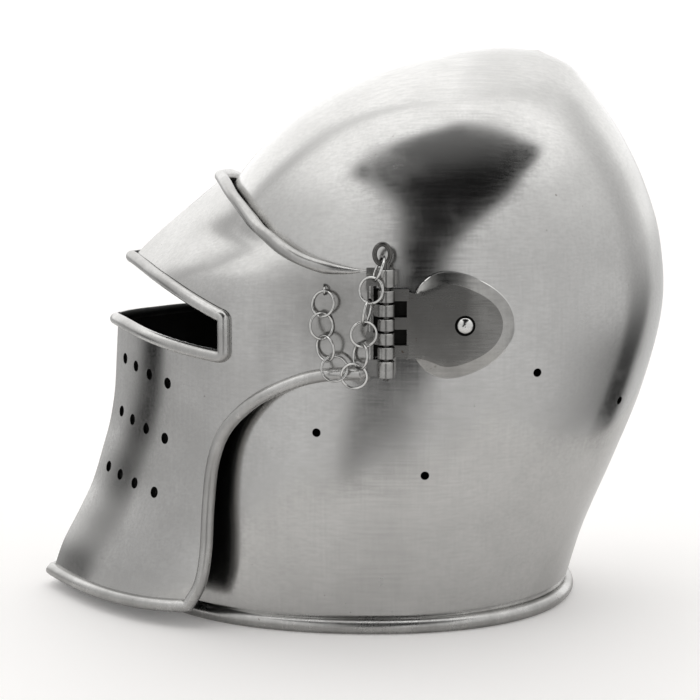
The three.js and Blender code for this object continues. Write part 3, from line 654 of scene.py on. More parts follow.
@dataclass
class Skull(Part):
    """One-piece skull with its rolled rim, face opening and the holes for the liner."""

    # Front Y, front Z, back Y, back Z, half width, fullness of the front and squareness of each ring.
    rings: tuple[tuple[float, ...], ...] = (
        (-112, 4.6, 122.6, 4.6, 91.6, -0.05, 2.12),
        (-108, 40, 133, 40, 94, -0.03, 2.12),
        (-104, 80, 149.5, 80, 95.8, -0.01, 2.12),
        (-99, 120, 165, 121, 96.3, 0, 2.12),
        (-91, 162, 174.9, 165, 95.8, 0.01, 2.12),
        (-79, 202, 172.5, 203, 92, 0.02, 2.1),
        (-63, 234, 163.2, 233, 84, 0.01, 2.08),
        (-40, 260, 151.4, 257, 71, 0, 2.05),
        (-10, 282, 139, 276, 54, 0, 2.02),
        (30, 298, 129, 288.5, 35, 0, 2),
        (75, 305.8, 120.5, 297.4, 16, 0, 2),
        (104, 305, 104, 305, 0, 0, 2),
    )
    ring_count: int = 88
    around: int = 176
    bead: float = 4.0
    bead_centre: float = 2.4
    bead_segments: int = 18
    flat: float = 0.35
    opening_half: float = 55.0
    opening_spread: float = 4.0
    opening_shoulder: float = 150.0
    opening_top: float = 206.0
    opening_steps: int = 32
    hole: float = 4.6
    holes: tuple[Pair, ...] = ((-17.7, 109.3), (39.4, 87.2), (98.5, 140.8), (146.5, 118.4))
    rivet_hole: float = 5.0
    pivot: Pair = PIVOT

    def point(self, ring: float, angle: float) -> Vector:
        """Point of the outer face.

        Args:
            ring: ring number from the rim up.
            angle: angle from the front.

        Returns:
            The point.
        """
        front_y, front_z, back_y, back_z, half, egg, square = row_at(self.rings, ring)
        fore, side = (math.copysign(abs(f(angle)) ** (2 / square), f(angle)) for f in (math.cos, math.sin))
        return Vector((
            half * side * (1 + egg * fore),
            (front_y + back_y) / 2 - (back_y - front_y) / 2 * fore,
            (front_z + back_z) / 2 - (back_z - front_z) / 2 * fore,
        ))

    def normal(self, ring: float, angle: float) -> Vector:
        """Outward normal of the outer face.

        Args:
            ring: ring number from the rim up.
            angle: angle from the front.

        Returns:
            The unit normal.
        """
        step = 0.01
        last = len(self.rings) - 1
        along = self.point(ring, angle + step) - self.point(ring, angle - step)
        rise = self.point(min(ring + step, last), angle) - self.point(max(ring - step, 0), angle)
        return along.cross(rise).normalized()

    def at(self, y: float, z: float) -> tuple[Vector, Vector]:
        """Place of the left half seen from the side.

        Args:
            y: place along the length.
            z: height.

        Returns:
            The point and the normal there.
        """
        ring, angle, step = 3.0, math.pi / 2, 1e-4
        for _ in range(40):
            here = self.point(ring, angle)
            by_ring = (self.point(ring + step, angle) - here) / step
            by_angle = (self.point(ring, angle + step) - here) / step
            miss_y, miss_z = here.y - y, here.z - z
            det = by_ring.y * by_angle.z - by_ring.z * by_angle.y
            ring -= clamp((miss_y * by_angle.z - miss_z * by_angle.y) / det, -0.5, 0.5)
            angle -= clamp((miss_z * by_ring.y - miss_y * by_ring.z) / det, -0.3, 0.3)
            ring = clamp(ring, 0.02, len(self.rings) - 1.02)
            angle = clamp(angle, 0.02, math.pi - 0.02)
        return self.point(ring, angle), self.normal(ring, angle)

    def bowl(self) -> Piece:
        """Makes the closed bowl with the bead round its foot.

        Returns:
            The object, with finishes for the outside, the inside, which is near black as painted shade, and
            the rolled edge.
        """
        draft = Draft()
        last = len(self.rings) - 1
        angles = [TURN * j / self.around for j in range(self.around)]
        outer, inner = [], []
        for i in range(self.ring_count):
            ring = last * i / self.ring_count
            faces = [(self.point(ring, angle), self.normal(ring, angle)) for angle in angles]
            if i == 0:
                rim = [draft.add(loop) for loop in self.rim(faces)]
                draft.grid(rim, wrap=True, finish=2)
                outer.append(rim[0])
                inner.append(rim[-1])
            else:
                outer.append(draft.add([point for point, _ in faces]))
                inner.append(draft.add([point - normal * STEEL for point, normal in faces]))
        draft.grid(outer, wrap=True)
        draft.grid(inner, wrap=True, finish=1)
        crown = self.point(last, 0)
        for rings, top in ((outer, crown), (inner, crown - UP * STEEL)):
            draft.grid([rings[-1], draft.add([top]) * self.around], wrap=True)
        return draft.build("skull_shell", self.smithy.materials(BRIGHT, SHADED_INSIDE, ROLLED))

    def rim(self, feet: Sequence[tuple[Vector, Vector]]) -> list[list[Vector]]:
        """Rings of the rolled rim, flattened where it stands.

        Args:
            feet: points of the lowest ring with their normals.

        Returns:
            The rings, from the outer face round to the inner face.
        """
        rings = []
        for out, past in bead_section(self.bead, self.bead_centre, self.bead_segments):
            height = self.bead - past if self.bead - past > self.flat else 0.0
            shifts = [Vector((n.x, n.y, 0)).normalized() * (out - STEEL / 2) for _, n in feet]
            rings.append([Vector((p.x + s.x, p.y + s.y, height)) for (p, _), s in zip(feet, shifts)])
        return rings

    def cutters(self) -> tuple[Draft, Draft]:
        """Shapes that are cut out of the bowl.

        Returns:
            The face opening, and the round holes.
        """
        below, ahead, half = -10.0, -160.0, self.opening_half
        wide, shoulder = half + self.opening_spread, self.opening_shoulder
        outline = [Vector((-half, 0, below)), Vector((half, 0, below)), Vector((wide, 0, shoulder))]
        for k in range(1, self.opening_steps + 1):
            angle = math.pi * k / self.opening_steps
            rise = (self.opening_top - shoulder) * math.sin(angle)
            outline.append(Vector((wide * math.cos(angle), 0, shoulder + rise)))
        face, holes = Draft(), Draft()
        face.prism(outline, Vector((0, ahead, 0)))
        for place in self.holes + (self.pivot,):
            point, axis = self.at(*place)
            across = self.hole
            if place == self.pivot:
                across, axis = self.rivet_hole, Vector((1, 0, 0))
            for side in Side:
                holes.rod([side.at(*(point + axis * reach)) for reach in (-9, 6)], across / 2, 28)
        return face, holes

    def make(self) -> None:
        """Builds and dresses the skull."""
        bowl = self.bowl()
        for cutter in self.cutters():
            cut(bowl, cutter)
        self.smithy.place(bowl, Body.SKULL, "steel_bright", "skull")


@dataclass
class Knuckles:
    """Barrels of the two side hinges; the odd ones belong to the visor."""

    x: float = 103.5
    y: float = 18.7
    radius: float = 4.5
    bore: float = 2.05
    chamfer: float = 0.35
    visor_edge: float = 9.4
    plate_edge: float = 29.4
    overlap: float = 1.0
    tops: tuple[float, ...] = (198.2, 187.2, 179.9, 172.4, 165, 157.7, 150.2)
    bottoms: tuple[float, ...] = (188.9, 181, 173.6, 166.1, 158.8, 151.4, 141.4)
    # Span of the tabs along X, then spans along X and Y of the visor's upright strip and of the black sheet
    # that paints the shadow in the slots behind the barrels.
    leaf: Pair = (98.3, 100.3)
    strip: tuple[Pair, Pair] = ((98.1, 100.0), (8.9, 12.1))
    lining: tuple[Pair, Pair] = ((97.9, 98.2), (11.5, 30.5))
    # Plan of the slope that carries the visor's sheet round its middle barrels.
    wrap: tuple[Pair, ...] = ((98.3, 12.0), (101.6, 12.0), (106.6, 15.6), (98.3, 15.6))

    def strips(self, smithy: Smithy, side: Side, owner: Owner) -> Piece:
        """Makes the barrels of one hinge that belong to one piece, with the strips that tie them on.

        Args:
            smithy: where the finishes come from.
            side: side of the wearer.
            owner: the piece that they belong to.

        Returns:
            The object.
        """
        visor = owner is Owner.VISOR
        end = self.visor_edge - self.overlap if visor else self.plate_edge + self.overlap
        tab = oblong(self.leaf, sorted((end, self.y)))
        draft = Draft()
        if visor:
            draft.post(side, oblong(*self.strip), self.bottoms[-1], self.tops[0])
        r, c, b = self.radius, self.chamfer, self.bore
        for top, bottom in list(zip(self.tops, self.bottoms))[0 if visor else 1::2]:
            profile = [(b, bottom), (r - c, bottom), (r, bottom + c), (r, top - c), (r - c, top), (b, top),
                       (b, bottom)]
            draft.lathe(profile, side.at(self.x, self.y, 0), UP, 40)
            draft.post(side, tab, bottom, top, 0 if visor else 1)
            if visor and self.tops[-1] < top < self.tops[0]:
                draft.post(side, self.wrap, bottom, top)
        return draft.build(f"{owner.value}_knuckles_{side.hand}", smithy.materials(KNUCKLE, DARK))

    def shade(self, smithy: Smithy, side: Side) -> Piece:
        """Makes the black sheet that paints the shadow in the slots behind the barrels.

        Args:
            smithy: where the finish comes from.
            side: side of the wearer.

        Returns:
            The object.
        """
        draft = Draft()
        draft.post(side, oblong(*self.lining), self.bottoms[-2], self.tops[1])
        return draft.build(f"hinge_lining_{side.hand}", smithy.materials(SHADED_INSIDE))


@dataclass
class Visor(Part):
    """Keeled visor with rolled edges, sight, breaths, knuckles and staples."""

    # Height, Y of the keel, half width that the bulge swells to, and the length in which it gets there.
    sections: tuple[tuple[float, ...], ...] = (
        (4, -172.7, 86, 111), (9, -170.7, 86, 110), (25, -164.9, 85.5, 107), (43, -155.6, 85, 103),
        (61, -147, 84.5, 99), (80, -141, 84, 95), (98, -136, 84, 91), (116, -133.2, 84, 88),
        (137, -131.8, 84, 86), (158, -130.4, 84, 85), (176, -127.8, 83.4, 84.5), (188, -122.4, 82, 84),
        (198, -113.4, 78, 84), (208, -102.4, 70.5, 82), (217, -91.8, 66, 66), (228, -78.6, 58.5, 41),
        (237, -68.4, 58, 20),
    )
    sharpness: float = 2.2
    cheek_from: float = -80.0
    cheek_to: float = 10.0
    cheek_power: float = 1.6
    cheek_x: float = 100.0
    bottom_z: float = 8.4
    top_z: float = 234.6
    rear_edge: tuple[Pair, ...] = (
        (-87, 12), (-80, 25), (-76.8, 43), (-75.4, 66), (-72.4, 91), (-65, 110), (-50.5, 125.3),
        (-32.6, 135), (-15, 140.6), (10, 143.2),
    )
    top_edge: tuple[Pair, ...] = (
        (-70.9, 234.6), (-66.5, 232.8), (-60.5, 227.3), (-52.4, 219.4), (-43.5, 211.2), (-30, 202.9),
        (-12, 197.3), (10, 195.8),
    )
    rear_share: float = 0.6
    sag: float = 1.2
    rows: int = 56
    columns: int = 44
    crowd: float = 1.3
    rounds: int = 24
    bead: float = 3.4
    bead_centre: float = 2.0
    bead_segments: int = 14
    plain_edge: float = 0.95
    fade_end: float = 0.97
    fade_rate: float = 9.0
    sight_lower: tuple[Pair, ...] = ((-150, 154.9), (-129, 154.7), (-110, 152.4), (-66, 148))
    sight_upper: tuple[Pair, ...] = ((-150, 190.8), (-122, 189.6), (-102.3, 184), (-66, 169.2))
    sight_rear: float = -66.0
    sight_corner: float = 2.6
    breath: float = 6.2
    breath_across: tuple[float, ...] = (12.6, 26.2, 40.4, 55.4)
    breath_rows: tuple[Pair, ...] = ((136, 0.13), (106, 0.14), (73.6, 0.1))
    staple_y: float = -13.3
    staple_z: float = 186.0
    staple_half: float = 2.5
    staple_reach: float = 5.0
    staple_wire: float = 0.6
    curves: dict[str, Curve] = field(init=False)
    lips: dict[Lip, Curve] = field(init=False)

    def __post_init__(self) -> None:
        """Works out the curves."""
        heights, *columns = zip(*self.sections)
        names = ("keel", "nose", "reach")
        self.curves = {name: Curve(heights, column) for name, column in zip(names, columns)}
        rows = {Lip.LOWER: self.sight_lower, Lip.UPPER: self.sight_upper}
        self.lips = {lip: Curve(*zip(*places)) for lip, places in rows.items()}

    def width(self, y: float, z: float) -> float:
        """Half width of the outer face at a place in the side view.

        Args:
            y: place along the length.
            z: height.

        Returns:
            The half width.
        """
        nose = self.curves["nose"].at(z)
        back = clamp((y - self.curves["keel"].at(z)) / self.curves["reach"].at(z), 0, 1)
        swell = 1 - (1 - back) ** self.sharpness
        run = clamp((y - self.cheek_from) / (self.cheek_to - self.cheek_from), 0, 1.2)
        return swell * (nose + (self.cheek_x - nose) * run ** self.cheek_power)

    def normal(self, y: float, z: float) -> Vector:
        """Outward normal of the left half.

        Args:
            y: place along the length.
            z: height.

        Returns:
            The unit normal.
        """
        step = 0.05
        run = (self.width(y + 2 * step, z) - self.width(y, z)) / (2 * step)
        rise = (self.width(y + step, z + step) - self.width(y + step, z - step)) / (2 * step)
        return Vector((1, -run, -rise)).normalized()

    def point(self, side: int, y: float, z: float, out: float = 0.0) -> Vector:
        """Point on or above either half.

        Args:
            side: sign of X.
            y: place along the length.
            z: height.
            out: distance out of the face.

        Returns:
            The point.
        """
        keel = self.curves["keel"].at(z)
        behind = max(y, keel)
        normal = self.normal(behind, z)
        if behind - keel < 1e-6:
            level = math.hypot(normal.y, normal.z)
            return Vector((0, keel, z)) + Vector((0, normal.y, normal.z)) * (out / level ** 2)
        point = Vector((self.width(behind, z), behind, z)) + normal * out
        return point * Vector((side, 1, 1))

    def place(self, across: float, up: float) -> Vector:
        """Place in the side view on the first grid.

        Args:
            across: share of the way from the keel to the rear edge.
            up: share of the way from the bottom edge to the top edge.

        Returns:
            Y and Z.
        """
        keel_z = mix(self.bottom_z, self.top_z, up)
        keel_y = self.curves["keel"].at(keel_z)
        if up < self.rear_share:
            rear = row_at(self.rear_edge, up / self.rear_share * (len(self.rear_edge) - 1))
        else:
            share = (up - self.rear_share) / (1 - self.rear_share)
            rear = [self.cheek_to, mix(self.rear_edge[-1][1], self.top_edge[-1][1], share)]
        top = row_at(self.top_edge, across * (len(self.top_edge) - 1))
        first, last = self.top_edge[0], self.top_edge[-1]
        lift = up ** 3
        sag = -self.sag * 4 * across * (1 - across) * (1 - up) ** 6
        return Vector((
            mix(keel_y, rear[0], across) + lift * (top[0] - mix(first[0], last[0], across)),
            mix(keel_z, rear[1], across) + lift * (top[1] - mix(first[1], last[1], across)) + sag,
        ))

    def section(self, across: float, up: float) -> list[Pair]:
        """Section of the edge at one place of the border, flat and plain where the hinge is.

        Args:
            across: share of the way from the keel to the rear edge.
            up: share of the way from the bottom edge to the top edge.

        Returns:
            Pairs as a bead's section has them.
        """
        fade = float(across < 1 or up < self.rear_share)
        if up >= 1:
            fade = clamp((self.fade_end - across) * self.fade_rate, 0, 1)
        radius, centre = mix(self.plain_edge, self.bead, fade), mix(0, self.bead_centre, fade)
        return bead_section(radius, centre, self.bead_segments)

    def net(self, places: list[list[Vector]], out: float = 0.0) -> list[list[Vector]]:
        """Points of both halves over the places of one, from the right edge to the left edge."""
        span = range(-self.columns, self.columns + 1)
        return [[self.point(-1 if j < 0 else 1, *row[abs(j)], out) for j in span] for row in places]

    def sheet(self) -> Piece:
        """Makes the plate with its rolled edges.

        Returns:
            The object, with finishes for the outside, the inside, which is near black as painted shade, and
            the rolled edge.
        """
        rows, columns, last = self.rows, self.columns, 2 * self.columns
        places = [[self.place((j / columns) ** self.crowd, i / rows) for j in range(columns + 1)]
                  for i in range(rows + 1)]
        edge = self.net(places)
        border = ([(0, j) for j in range(last)] + [(i, last) for i in range(rows)]
                  + [(rows, last - j) for j in range(last)] + [(rows - i, 0) for i in range(rows)])
        sections, ways = {}, {}
        for k, (i, j) in enumerate(border):
            before, after = border[k - 1], border[(k + 1) % len(border)]
            along = edge[after[0]][after[1]] - edge[before[0]][before[1]]
            off = abs(j - columns)
            sign = (j > columns) - (j < columns)
            normal = self.normal(*places[i][off]) * Vector((sign, 1, 1))
            sections[i, j] = self.section((off / columns) ** self.crowd, i / rows)
            ways[i, j] = along.cross(normal).normalized()
        for (i, j), way in ways.items():
            if j >= columns:
                shifted = edge[i][j] + way * sections[i, j][0][1]
                places[i][j - columns] = Vector((shifted.y, shifted.z))
        for row in (places[0], places[-1]):
            row[0].x = self.curves["keel"].at(row[0].y)
        self.ease(places)
        outer, inner = self.net(places), self.net(places, -STEEL)
        loops = []
        for i, j in border:
            (first_out, first_past), way = sections[i, j][0], ways[i, j]
            normal = (outer[i][j] - inner[i][j]).normalized()
            loops.append([outer[i][j] + normal * (out - first_out) + way * (past - first_past)
                          for out, past in sections[i, j]])
            inner[i][j] = loops[-1][-1]
        draft = Draft()
        front = [draft.add(row) for row in outer]
        back = [draft.add(row) for row in inner]
        draft.grid(front)
        draft.grid(back, finish=1)
        rings = [[front[i][j]] + draft.add(ring[1:-1]) + [back[i][j]] for (i, j), ring in zip(border, loops)]
        draft.grid(rings + [rings[0]], finish=2)
        return draft.build("visor_shell", self.smithy.materials(VISOR_STEEL, SHADED_INSIDE, ROLLED))

    def ease(self, places: list[list[Vector]]) -> None:
        """Spreads the inner places of the grid evenly between its edges.

        Args:
            places: rows of Y and Z, changed in place.
        """
        for _ in range(self.rounds):
            for i in range(1, self.rows):
                for j in range(1, self.columns):
                    back, ahead = places[i][j + 1], places[i][j - 1]
                    down, up = places[i - 1][j], places[i + 1][j]
                    across, rise = back - ahead, up - down
                    twist = places[i + 1][j + 1] - places[i + 1][j - 1]
                    twist += places[i - 1][j - 1] - places[i - 1][j + 1]
                    total = (back + ahead) * rise.length_squared + (up + down) * across.length_squared
                    total -= twist * (across.dot(rise) / 2)
                    places[i][j] = total / (2 * (rise.length_squared + across.length_squared))

    def lip(self, lip: Lip, count: int) -> list[Pair]:
        """Places along one lip of the sight, from the keel to its rear end.

        Args:
            lip: the lip.
            count: number of steps.

        Returns:
            Pairs of Y and Z.
        """
        curve, keel = self.lips[lip], self.curves["keel"]
        z = self.sight_lower[0][1]
        for _ in range(7):
            z = curve.at(keel.at(z))
        first = keel.at(z)
        rest = [mix(first, self.sight_rear, (i / count) ** 1.15) for i in range(1, count + 1)]
        return [(first, z)] + [(y, curve.at(y)) for y in rest]

    def sight_cutter(self) -> Draft:
        """Opening of the sight, a prism through both halves.

        Returns:
            The prism.
        """
        ahead, wide = -150.0, 130.0
        lower, upper = self.lip(Lip.LOWER, 30), self.lip(Lip.UPPER, 30)
        outline = [(ahead, lower[0][1]), *lower, *reversed(upper), (ahead, upper[0][1])]
        draft = Draft()
        draft.prism([Vector((-wide, y, z)) for y, z in outline], Vector((2 * wide, 0, 0)))
        return draft

    def lip_and_corner(self, lip: Lip) -> list[Pair]:
        """Places along one lip with its rounded corner, from the keel to the riser at the rear.

        Args:
            lip: the lip.

        Returns:
            Pairs of Y and Z.
        """
        corner, sign = self.sight_corner, lip.value
        start = self.sight_rear - corner
        level = self.lips[lip].at(start) + sign * corner
        turns = [sign * math.pi / 2 * (k / 5 - 1) for k in range(6)]
        arc = [(start + corner * math.cos(a), level + corner * math.sin(a)) for a in turns]
        return [place for place in self.lip(lip, 34) if place[0] < start - 0.5] + arc

    def sight_bead(self) -> Piece:
        """Makes the rolled edge round the sight.

        Returns:
            The object, with finishes for its outside and its inside, which is near black as painted shade.
        """
        lower, upper = self.lip_and_corner(Lip.LOWER), self.lip_and_corner(Lip.UPPER)
        foot, head = (self.lips[lip].at(self.sight_rear) + lip.value * self.sight_corner for lip in Lip)
        riser = [(self.sight_rear, mix(foot, head, k / 6)) for k in range(1, 6)]
        half_loop = lower + riser + upper[::-1]
        out = self.bead_centre - STEEL / 2
        left, right = ([self.point(side, y, z, out) for y, z in half_loop] for side in (1, -1))
        draft = Draft()
        draft.rod(left + right[-2:0:-1], self.bead, 18, closed=True)
        bead = draft.build("visor_sight_edge", self.smithy.materials(ROLLED, SHADED_INSIDE), 60)
        # Faces that turn in towards the opening take the near-black finish: painted shade inside the sight.
        middle_y, inward = -40 * MM, -0.25
        for face in bead.data.polygons:
            outward = Vector((face.center.x, face.center.y - middle_y, 0)).normalized()
            face.material_index = int(face.normal.dot(outward) < inward)
        return bead

    def breath_cutters(self) -> Draft:
        """Round holes for breath, square to the face.

        Returns:
            The cutters.
        """
        draft = Draft()
        for z, fall in self.breath_rows:
            for across in self.breath_across:
                height = z - fall * across
                near, far = self.curves["keel"].at(height), -40.0
                for _ in range(40):
                    middle = (near + far) / 2
                    if self.width(middle, height) < across:
                        near = middle
                    else:
                        far = middle
                for side in Side:
                    ends = [self.point(side.value, near, height, reach) for reach in (-8, 8)]
                    draft.rod(ends, self.breath / 2, 28)
        return draft

    def staple(self, side: Side) -> Piece:
        """Makes the staple that holds the first link.

        Args:
            side: side of the wearer.

        Returns:
            The object.
        """
        y, z, half = self.staple_y, self.staple_z, self.staple_half
        foot, steps = self.width(y, z), 24
        turns = [math.pi * k / steps for k in range(steps + 1)]
        bow = [(foot + self.staple_reach * math.sin(a), z + half * math.cos(a)) for a in turns]
        path = [(foot - 1, z + half), *bow, (foot - 1, z - half)]
        draft = Draft()
        draft.rod([side.at(x, y, level) for x, level in path], self.staple_wire, 14)
        return draft.build(f"chain_staple_{side.hand}", self.smithy.materials(WIRE))

    def make(self, knuckles: Knuckles) -> None:
        """Builds and dresses the visor.

        Args:
            knuckles: the barrels that the visor shares with the pivot plates.
        """
        sheet = self.sheet()
        cut(sheet, self.sight_cutter())
        cut(sheet, self.breath_cutters())
        self.smithy.place(sheet, Body.VISOR, "steel_bright", "visor")
        self.smithy.place(self.sight_bead(), Body.VISOR, "steel_bright")
        for side in Side:
            strips = knuckles.strips(self.smithy, side, Owner.VISOR)
            self.smithy.place(strips, Body.VISOR, "steel_bright")
            self.smithy.place(knuckles.shade(self.smithy, side), Body.VISOR, "steel_dark")
            self.smithy.place(self.staple(side), Body.VISOR, "steel_bright")


@dataclass
class PivotPlate(SidePart):
    """Leaf that carries the visor on its rivet."""

    pivot: Pair = PIVOT
    x: float = 98.3
    thick: float = 1.9
    centre: float = -9.0
    round: float = 28.2
    tip: float = 7.0
    waist: float = 8.8
    spread: float = 2.36
    taper: float = 0.55
    tongue: float = 17.9
    bow_back: float = 0.0052
    bow_up: float = 0.0011
    steps: int = 120
    cells: int = 16
    # Distance in from the edge and height of each ring of the border.
    levels: tuple[Pair, ...] = (
        (0, 0), (0, 0.5), (0.4, 0.78), (2.4, 1.12), (4.4, 1.5), (5.9, 1.78), (6.5, 1.9),
    )
    hole: float = 2.6
    sink: float = 5.4
    sink_slope: float = 0.5
    sink_depth: float = 0.9
    crease: float = 24.0

    def outline(self, inset: float, front: float) -> list[Pair]:
        """Outline of the leaf about the rivet.

        Args:
            inset: distance in from the edge.
            front: place of the tongue's end.

        Returns:
            Pairs of distance back and distance up.
        """
        points = []
        for k in range(self.steps + 1):
            angle = (k / self.steps * 2 - 1) * self.spread
            cosine = math.cos(angle)
            bulge = self.tip * cosine ** 4 if cosine > 0 else -self.waist * cosine ** 2
            fade = clamp((self.spread - abs(angle)) / self.taper, 0, 1)
            size = self.round + bulge - inset * fade * (2 - fade)
            points.append((self.centre + size * cosine, size * math.sin(angle)))
        return [(front, -self.tongue), *points, (front, self.tongue)]

    def at(self, x: float, back: float, up: float) -> Vector:
        """Point of the leaf, bowed to follow the skull."""
        bowed = x - self.bow_back * max(0.0, back) ** 2 - self.bow_up * up * up
        return self.side.at(bowed, self.pivot[0] + back, self.pivot[1] + up)

    def cap(self, draft: Draft, loop: Sequence[int], x: float) -> None:
        """Closes one face of the leaf with strips across it.

        Args:
            draft: the mesh.
            loop: point numbers of the outline, an odd number and even about the level line.
            x: level of the face.
        """
        half, cells = len(loop) // 2, self.cells
        columns = []
        for low, high in zip(loop[:half], loop[::-1]):
            start, stop = draft.points[low], draft.points[high]
            inner = [start.lerp(stop, c / cells) for c in range(1, cells)]
            bowed = [self.at(x, p.y - self.pivot[0], p.z - self.pivot[1]) for p in inner]
            columns.append([low] + draft.add(bowed) + [high])
        draft.grid(columns + [[loop[half]] * (cells + 1)])

    def make(self, knuckles: Knuckles) -> None:
        """Builds and dresses one pivot plate with its barrels.

        Args:
            knuckles: sizes of the barrels.
        """
        front, top, past = knuckles.plate_edge - self.pivot[0], self.x + self.thick, 4.0
        draft = Draft()
        loops = [draft.add([self.at(self.x + rise, *place) for place in self.outline(inset, front)])
                 for inset, rise in self.levels]
        # The side wall and the bevel take the lighter border steel, a painted sheen; the outer round between
        # them takes the wire steel.
        draft.grid(loops[:2], wrap=True, finish=2)
        draft.grid(loops[1:3], wrap=True, finish=3)
        draft.grid(loops[2:], wrap=True, finish=2)
        self.cap(draft, loops[0], self.x)
        self.cap(draft, loops[-1], top)
        materials = self.smithy.materials(DARK, SHADED_INSIDE, BORDER_SHEEN, WIRE)
        leaf = draft.build(f"pivot_leaf_{self.side.hand}", materials, self.crease)
        low, floor, high = self.x - past, top - self.sink_depth, top + past
        profile = [(0, low), (self.hole, low), (self.hole, floor), (self.sink - self.sink_slope, floor),
                   (self.sink, top + 0.05), (self.sink, high), (0, high)]
        cutter = Draft()
        cutter.lathe(profile, Vector((0, *self.pivot)), self.side.at(1, 0, 0), 48)
        cut(leaf, cutter, self.crease)
        self.smithy.place(leaf, Body.VISOR, "steel_dark", f"pivot_plate_{self.side.hand}")
        strips = knuckles.strips(self.smithy, self.side, Owner.PLATE)
        self.smithy.place(strips, Body.VISOR, "steel_dark")


@dataclass
class PivotRivet(SidePart):
    """Rivet fixed in the skull, with a low domed head."""

    pivot: Pair = PIVOT
    seat: float = 99.6
    shank: float = 2.2
    head: float = 4.3
    head_edge: float = 0.3
    rim: float = 0.35
    dome: float = 2.2
    tail: float = 4.2
    tail_edge: float = 0.8
    tail_high: float = 1.4
    # Share of the head's radius, and depth under the top of the dome.
    dimple: tuple[Pair, ...] = ((0.16, 0.12), (0.1, 0.32), (0, 0.4))

    def make(self, skull: Skull) -> None:
        """Builds and dresses one rivet.

        Args:
            skull: the skull that it is fixed in.
        """
        inside = skull.at(*self.pivot)[0].x - STEEL - self.tail_high
        low, shoulder, steps = inside - self.tail_high, self.seat + self.rim, 11
        profile = [(0, low), (self.tail - self.tail_edge, low), (self.tail, low + self.tail_edge),
                   (self.tail, inside), (self.shank, inside), (self.shank, self.seat),
                   (self.head - self.head_edge, self.seat), (self.head, shoulder)]
        turns = [math.pi / 2 * k / steps for k in range(1, steps)]
        rise = self.dome - self.rim
        profile += [(self.head * math.cos(a), shoulder + rise * math.sin(a)) for a in turns]
        profile += [(self.head * share, self.seat + self.dome - depth) for share, depth in self.dimple]
        draft = Draft()
        draft.lathe(profile, Vector((0, *self.pivot)), self.side.at(1, 0, 0), 48)
        rivet = draft.build(f"rivet_{self.side.hand}", self.smithy.materials(WIRE), 40)
        self.smithy.place(rivet, Body.SKULL, "steel_wire", f"pivot_rivet_{self.side.hand}")


@dataclass
class HingePin(SidePart):
    """Pin of a side hinge, bent into an eye at the top."""

    radius: float = 1.7
    chamfer: float = 0.4
    foot: float = 139.8
    neck: float = 201.636
    shoulder: float = 1.5
    eye_y: float = 16.6
    eye_z: float = 205.9
    half_y: float = 4.0
    half_z: float = 5.2
    rod: float = 1.25

    def make(self, knuckles: Knuckles) -> None:
        """Builds and dresses one pin.

        Args:
            knuckles: sizes of the barrels.
        """
        draft = Draft()
        profile = [(0, self.foot), (self.radius - self.chamfer, self.foot),
                   (self.radius, self.foot + self.chamfer), (self.radius, self.neck - self.shoulder),
                   (self.rod, self.neck), (0, self.neck)]
        draft.lathe(profile, self.side.at(knuckles.x, knuckles.y, 0), UP, 24)
        centre = self.side.at(knuckles.x, self.eye_y, self.eye_z)
        eye = circle(centre, Vector((0, self.half_y, 0)), UP * self.half_z, 48)
        draft.rod(eye, self.rod, 16, closed=True)
        pin = draft.build(f"hinge_rod_{self.side.hand}", self.smithy.materials(PIN), 40)
        self.smithy.place(pin, Body.VISOR, "steel_dark", f"hinge_pin_{self.side.hand}")


@dataclass
class Chain(SidePart):
    """Ten round wire links from the staple on the visor to the eye of the pin."""

    radius: float = 6.7
    wire: float = 0.7
    # Centre of each link, then the lean and turn of its axis in degrees.
    links: tuple[tuple[float, ...], ...] = (
        (97.0, -14.0, 179.1, 15, -34),
        (99.1, -14.8, 167.8, 9, 30),
        (100.3, -12.8, 156.2, -4, -49),
        (103.3, -8.1, 146.2, 21, 4),
        (104.3, 2.1, 142.4, -8, -9),
        (106.2, 5.3, 153.3, 7, -59),
        (106.9, 7.0, 164.8, -4, 8),
        (107.4, 8.7, 176.3, -10, 74),
        (107.4, 10.8, 187.8, 7, -28),
        (107.4, 14.7, 198.8, 23, -82),
    )

    def make(self) -> None:
        """Builds and dresses one chain."""
        for k, (x, y, z, lean, turn) in enumerate(self.links, start=1):
            up, around = math.radians(lean), math.radians(turn)
            level = math.cos(up)
            axis = self.side.at(level * math.cos(around), level * math.sin(around), math.sin(up))
            spin = UP.rotation_difference(axis)
            across, other = (spin @ Vector(way) * self.radius for way in ((1, 0, 0), (0, 1, 0)))
            draft = Draft()
            draft.rod(circle(self.side.at(x, y, z), across, other, 56), self.wire, 14, closed=True)
            name = f"{self.side.hand}_{k:02d}"
            link = draft.build(f"link_{name}", self.smithy.materials(WIRE), 60)
            self.smithy.place(link, Body.VISOR, "steel_wire", f"chain_{name}")


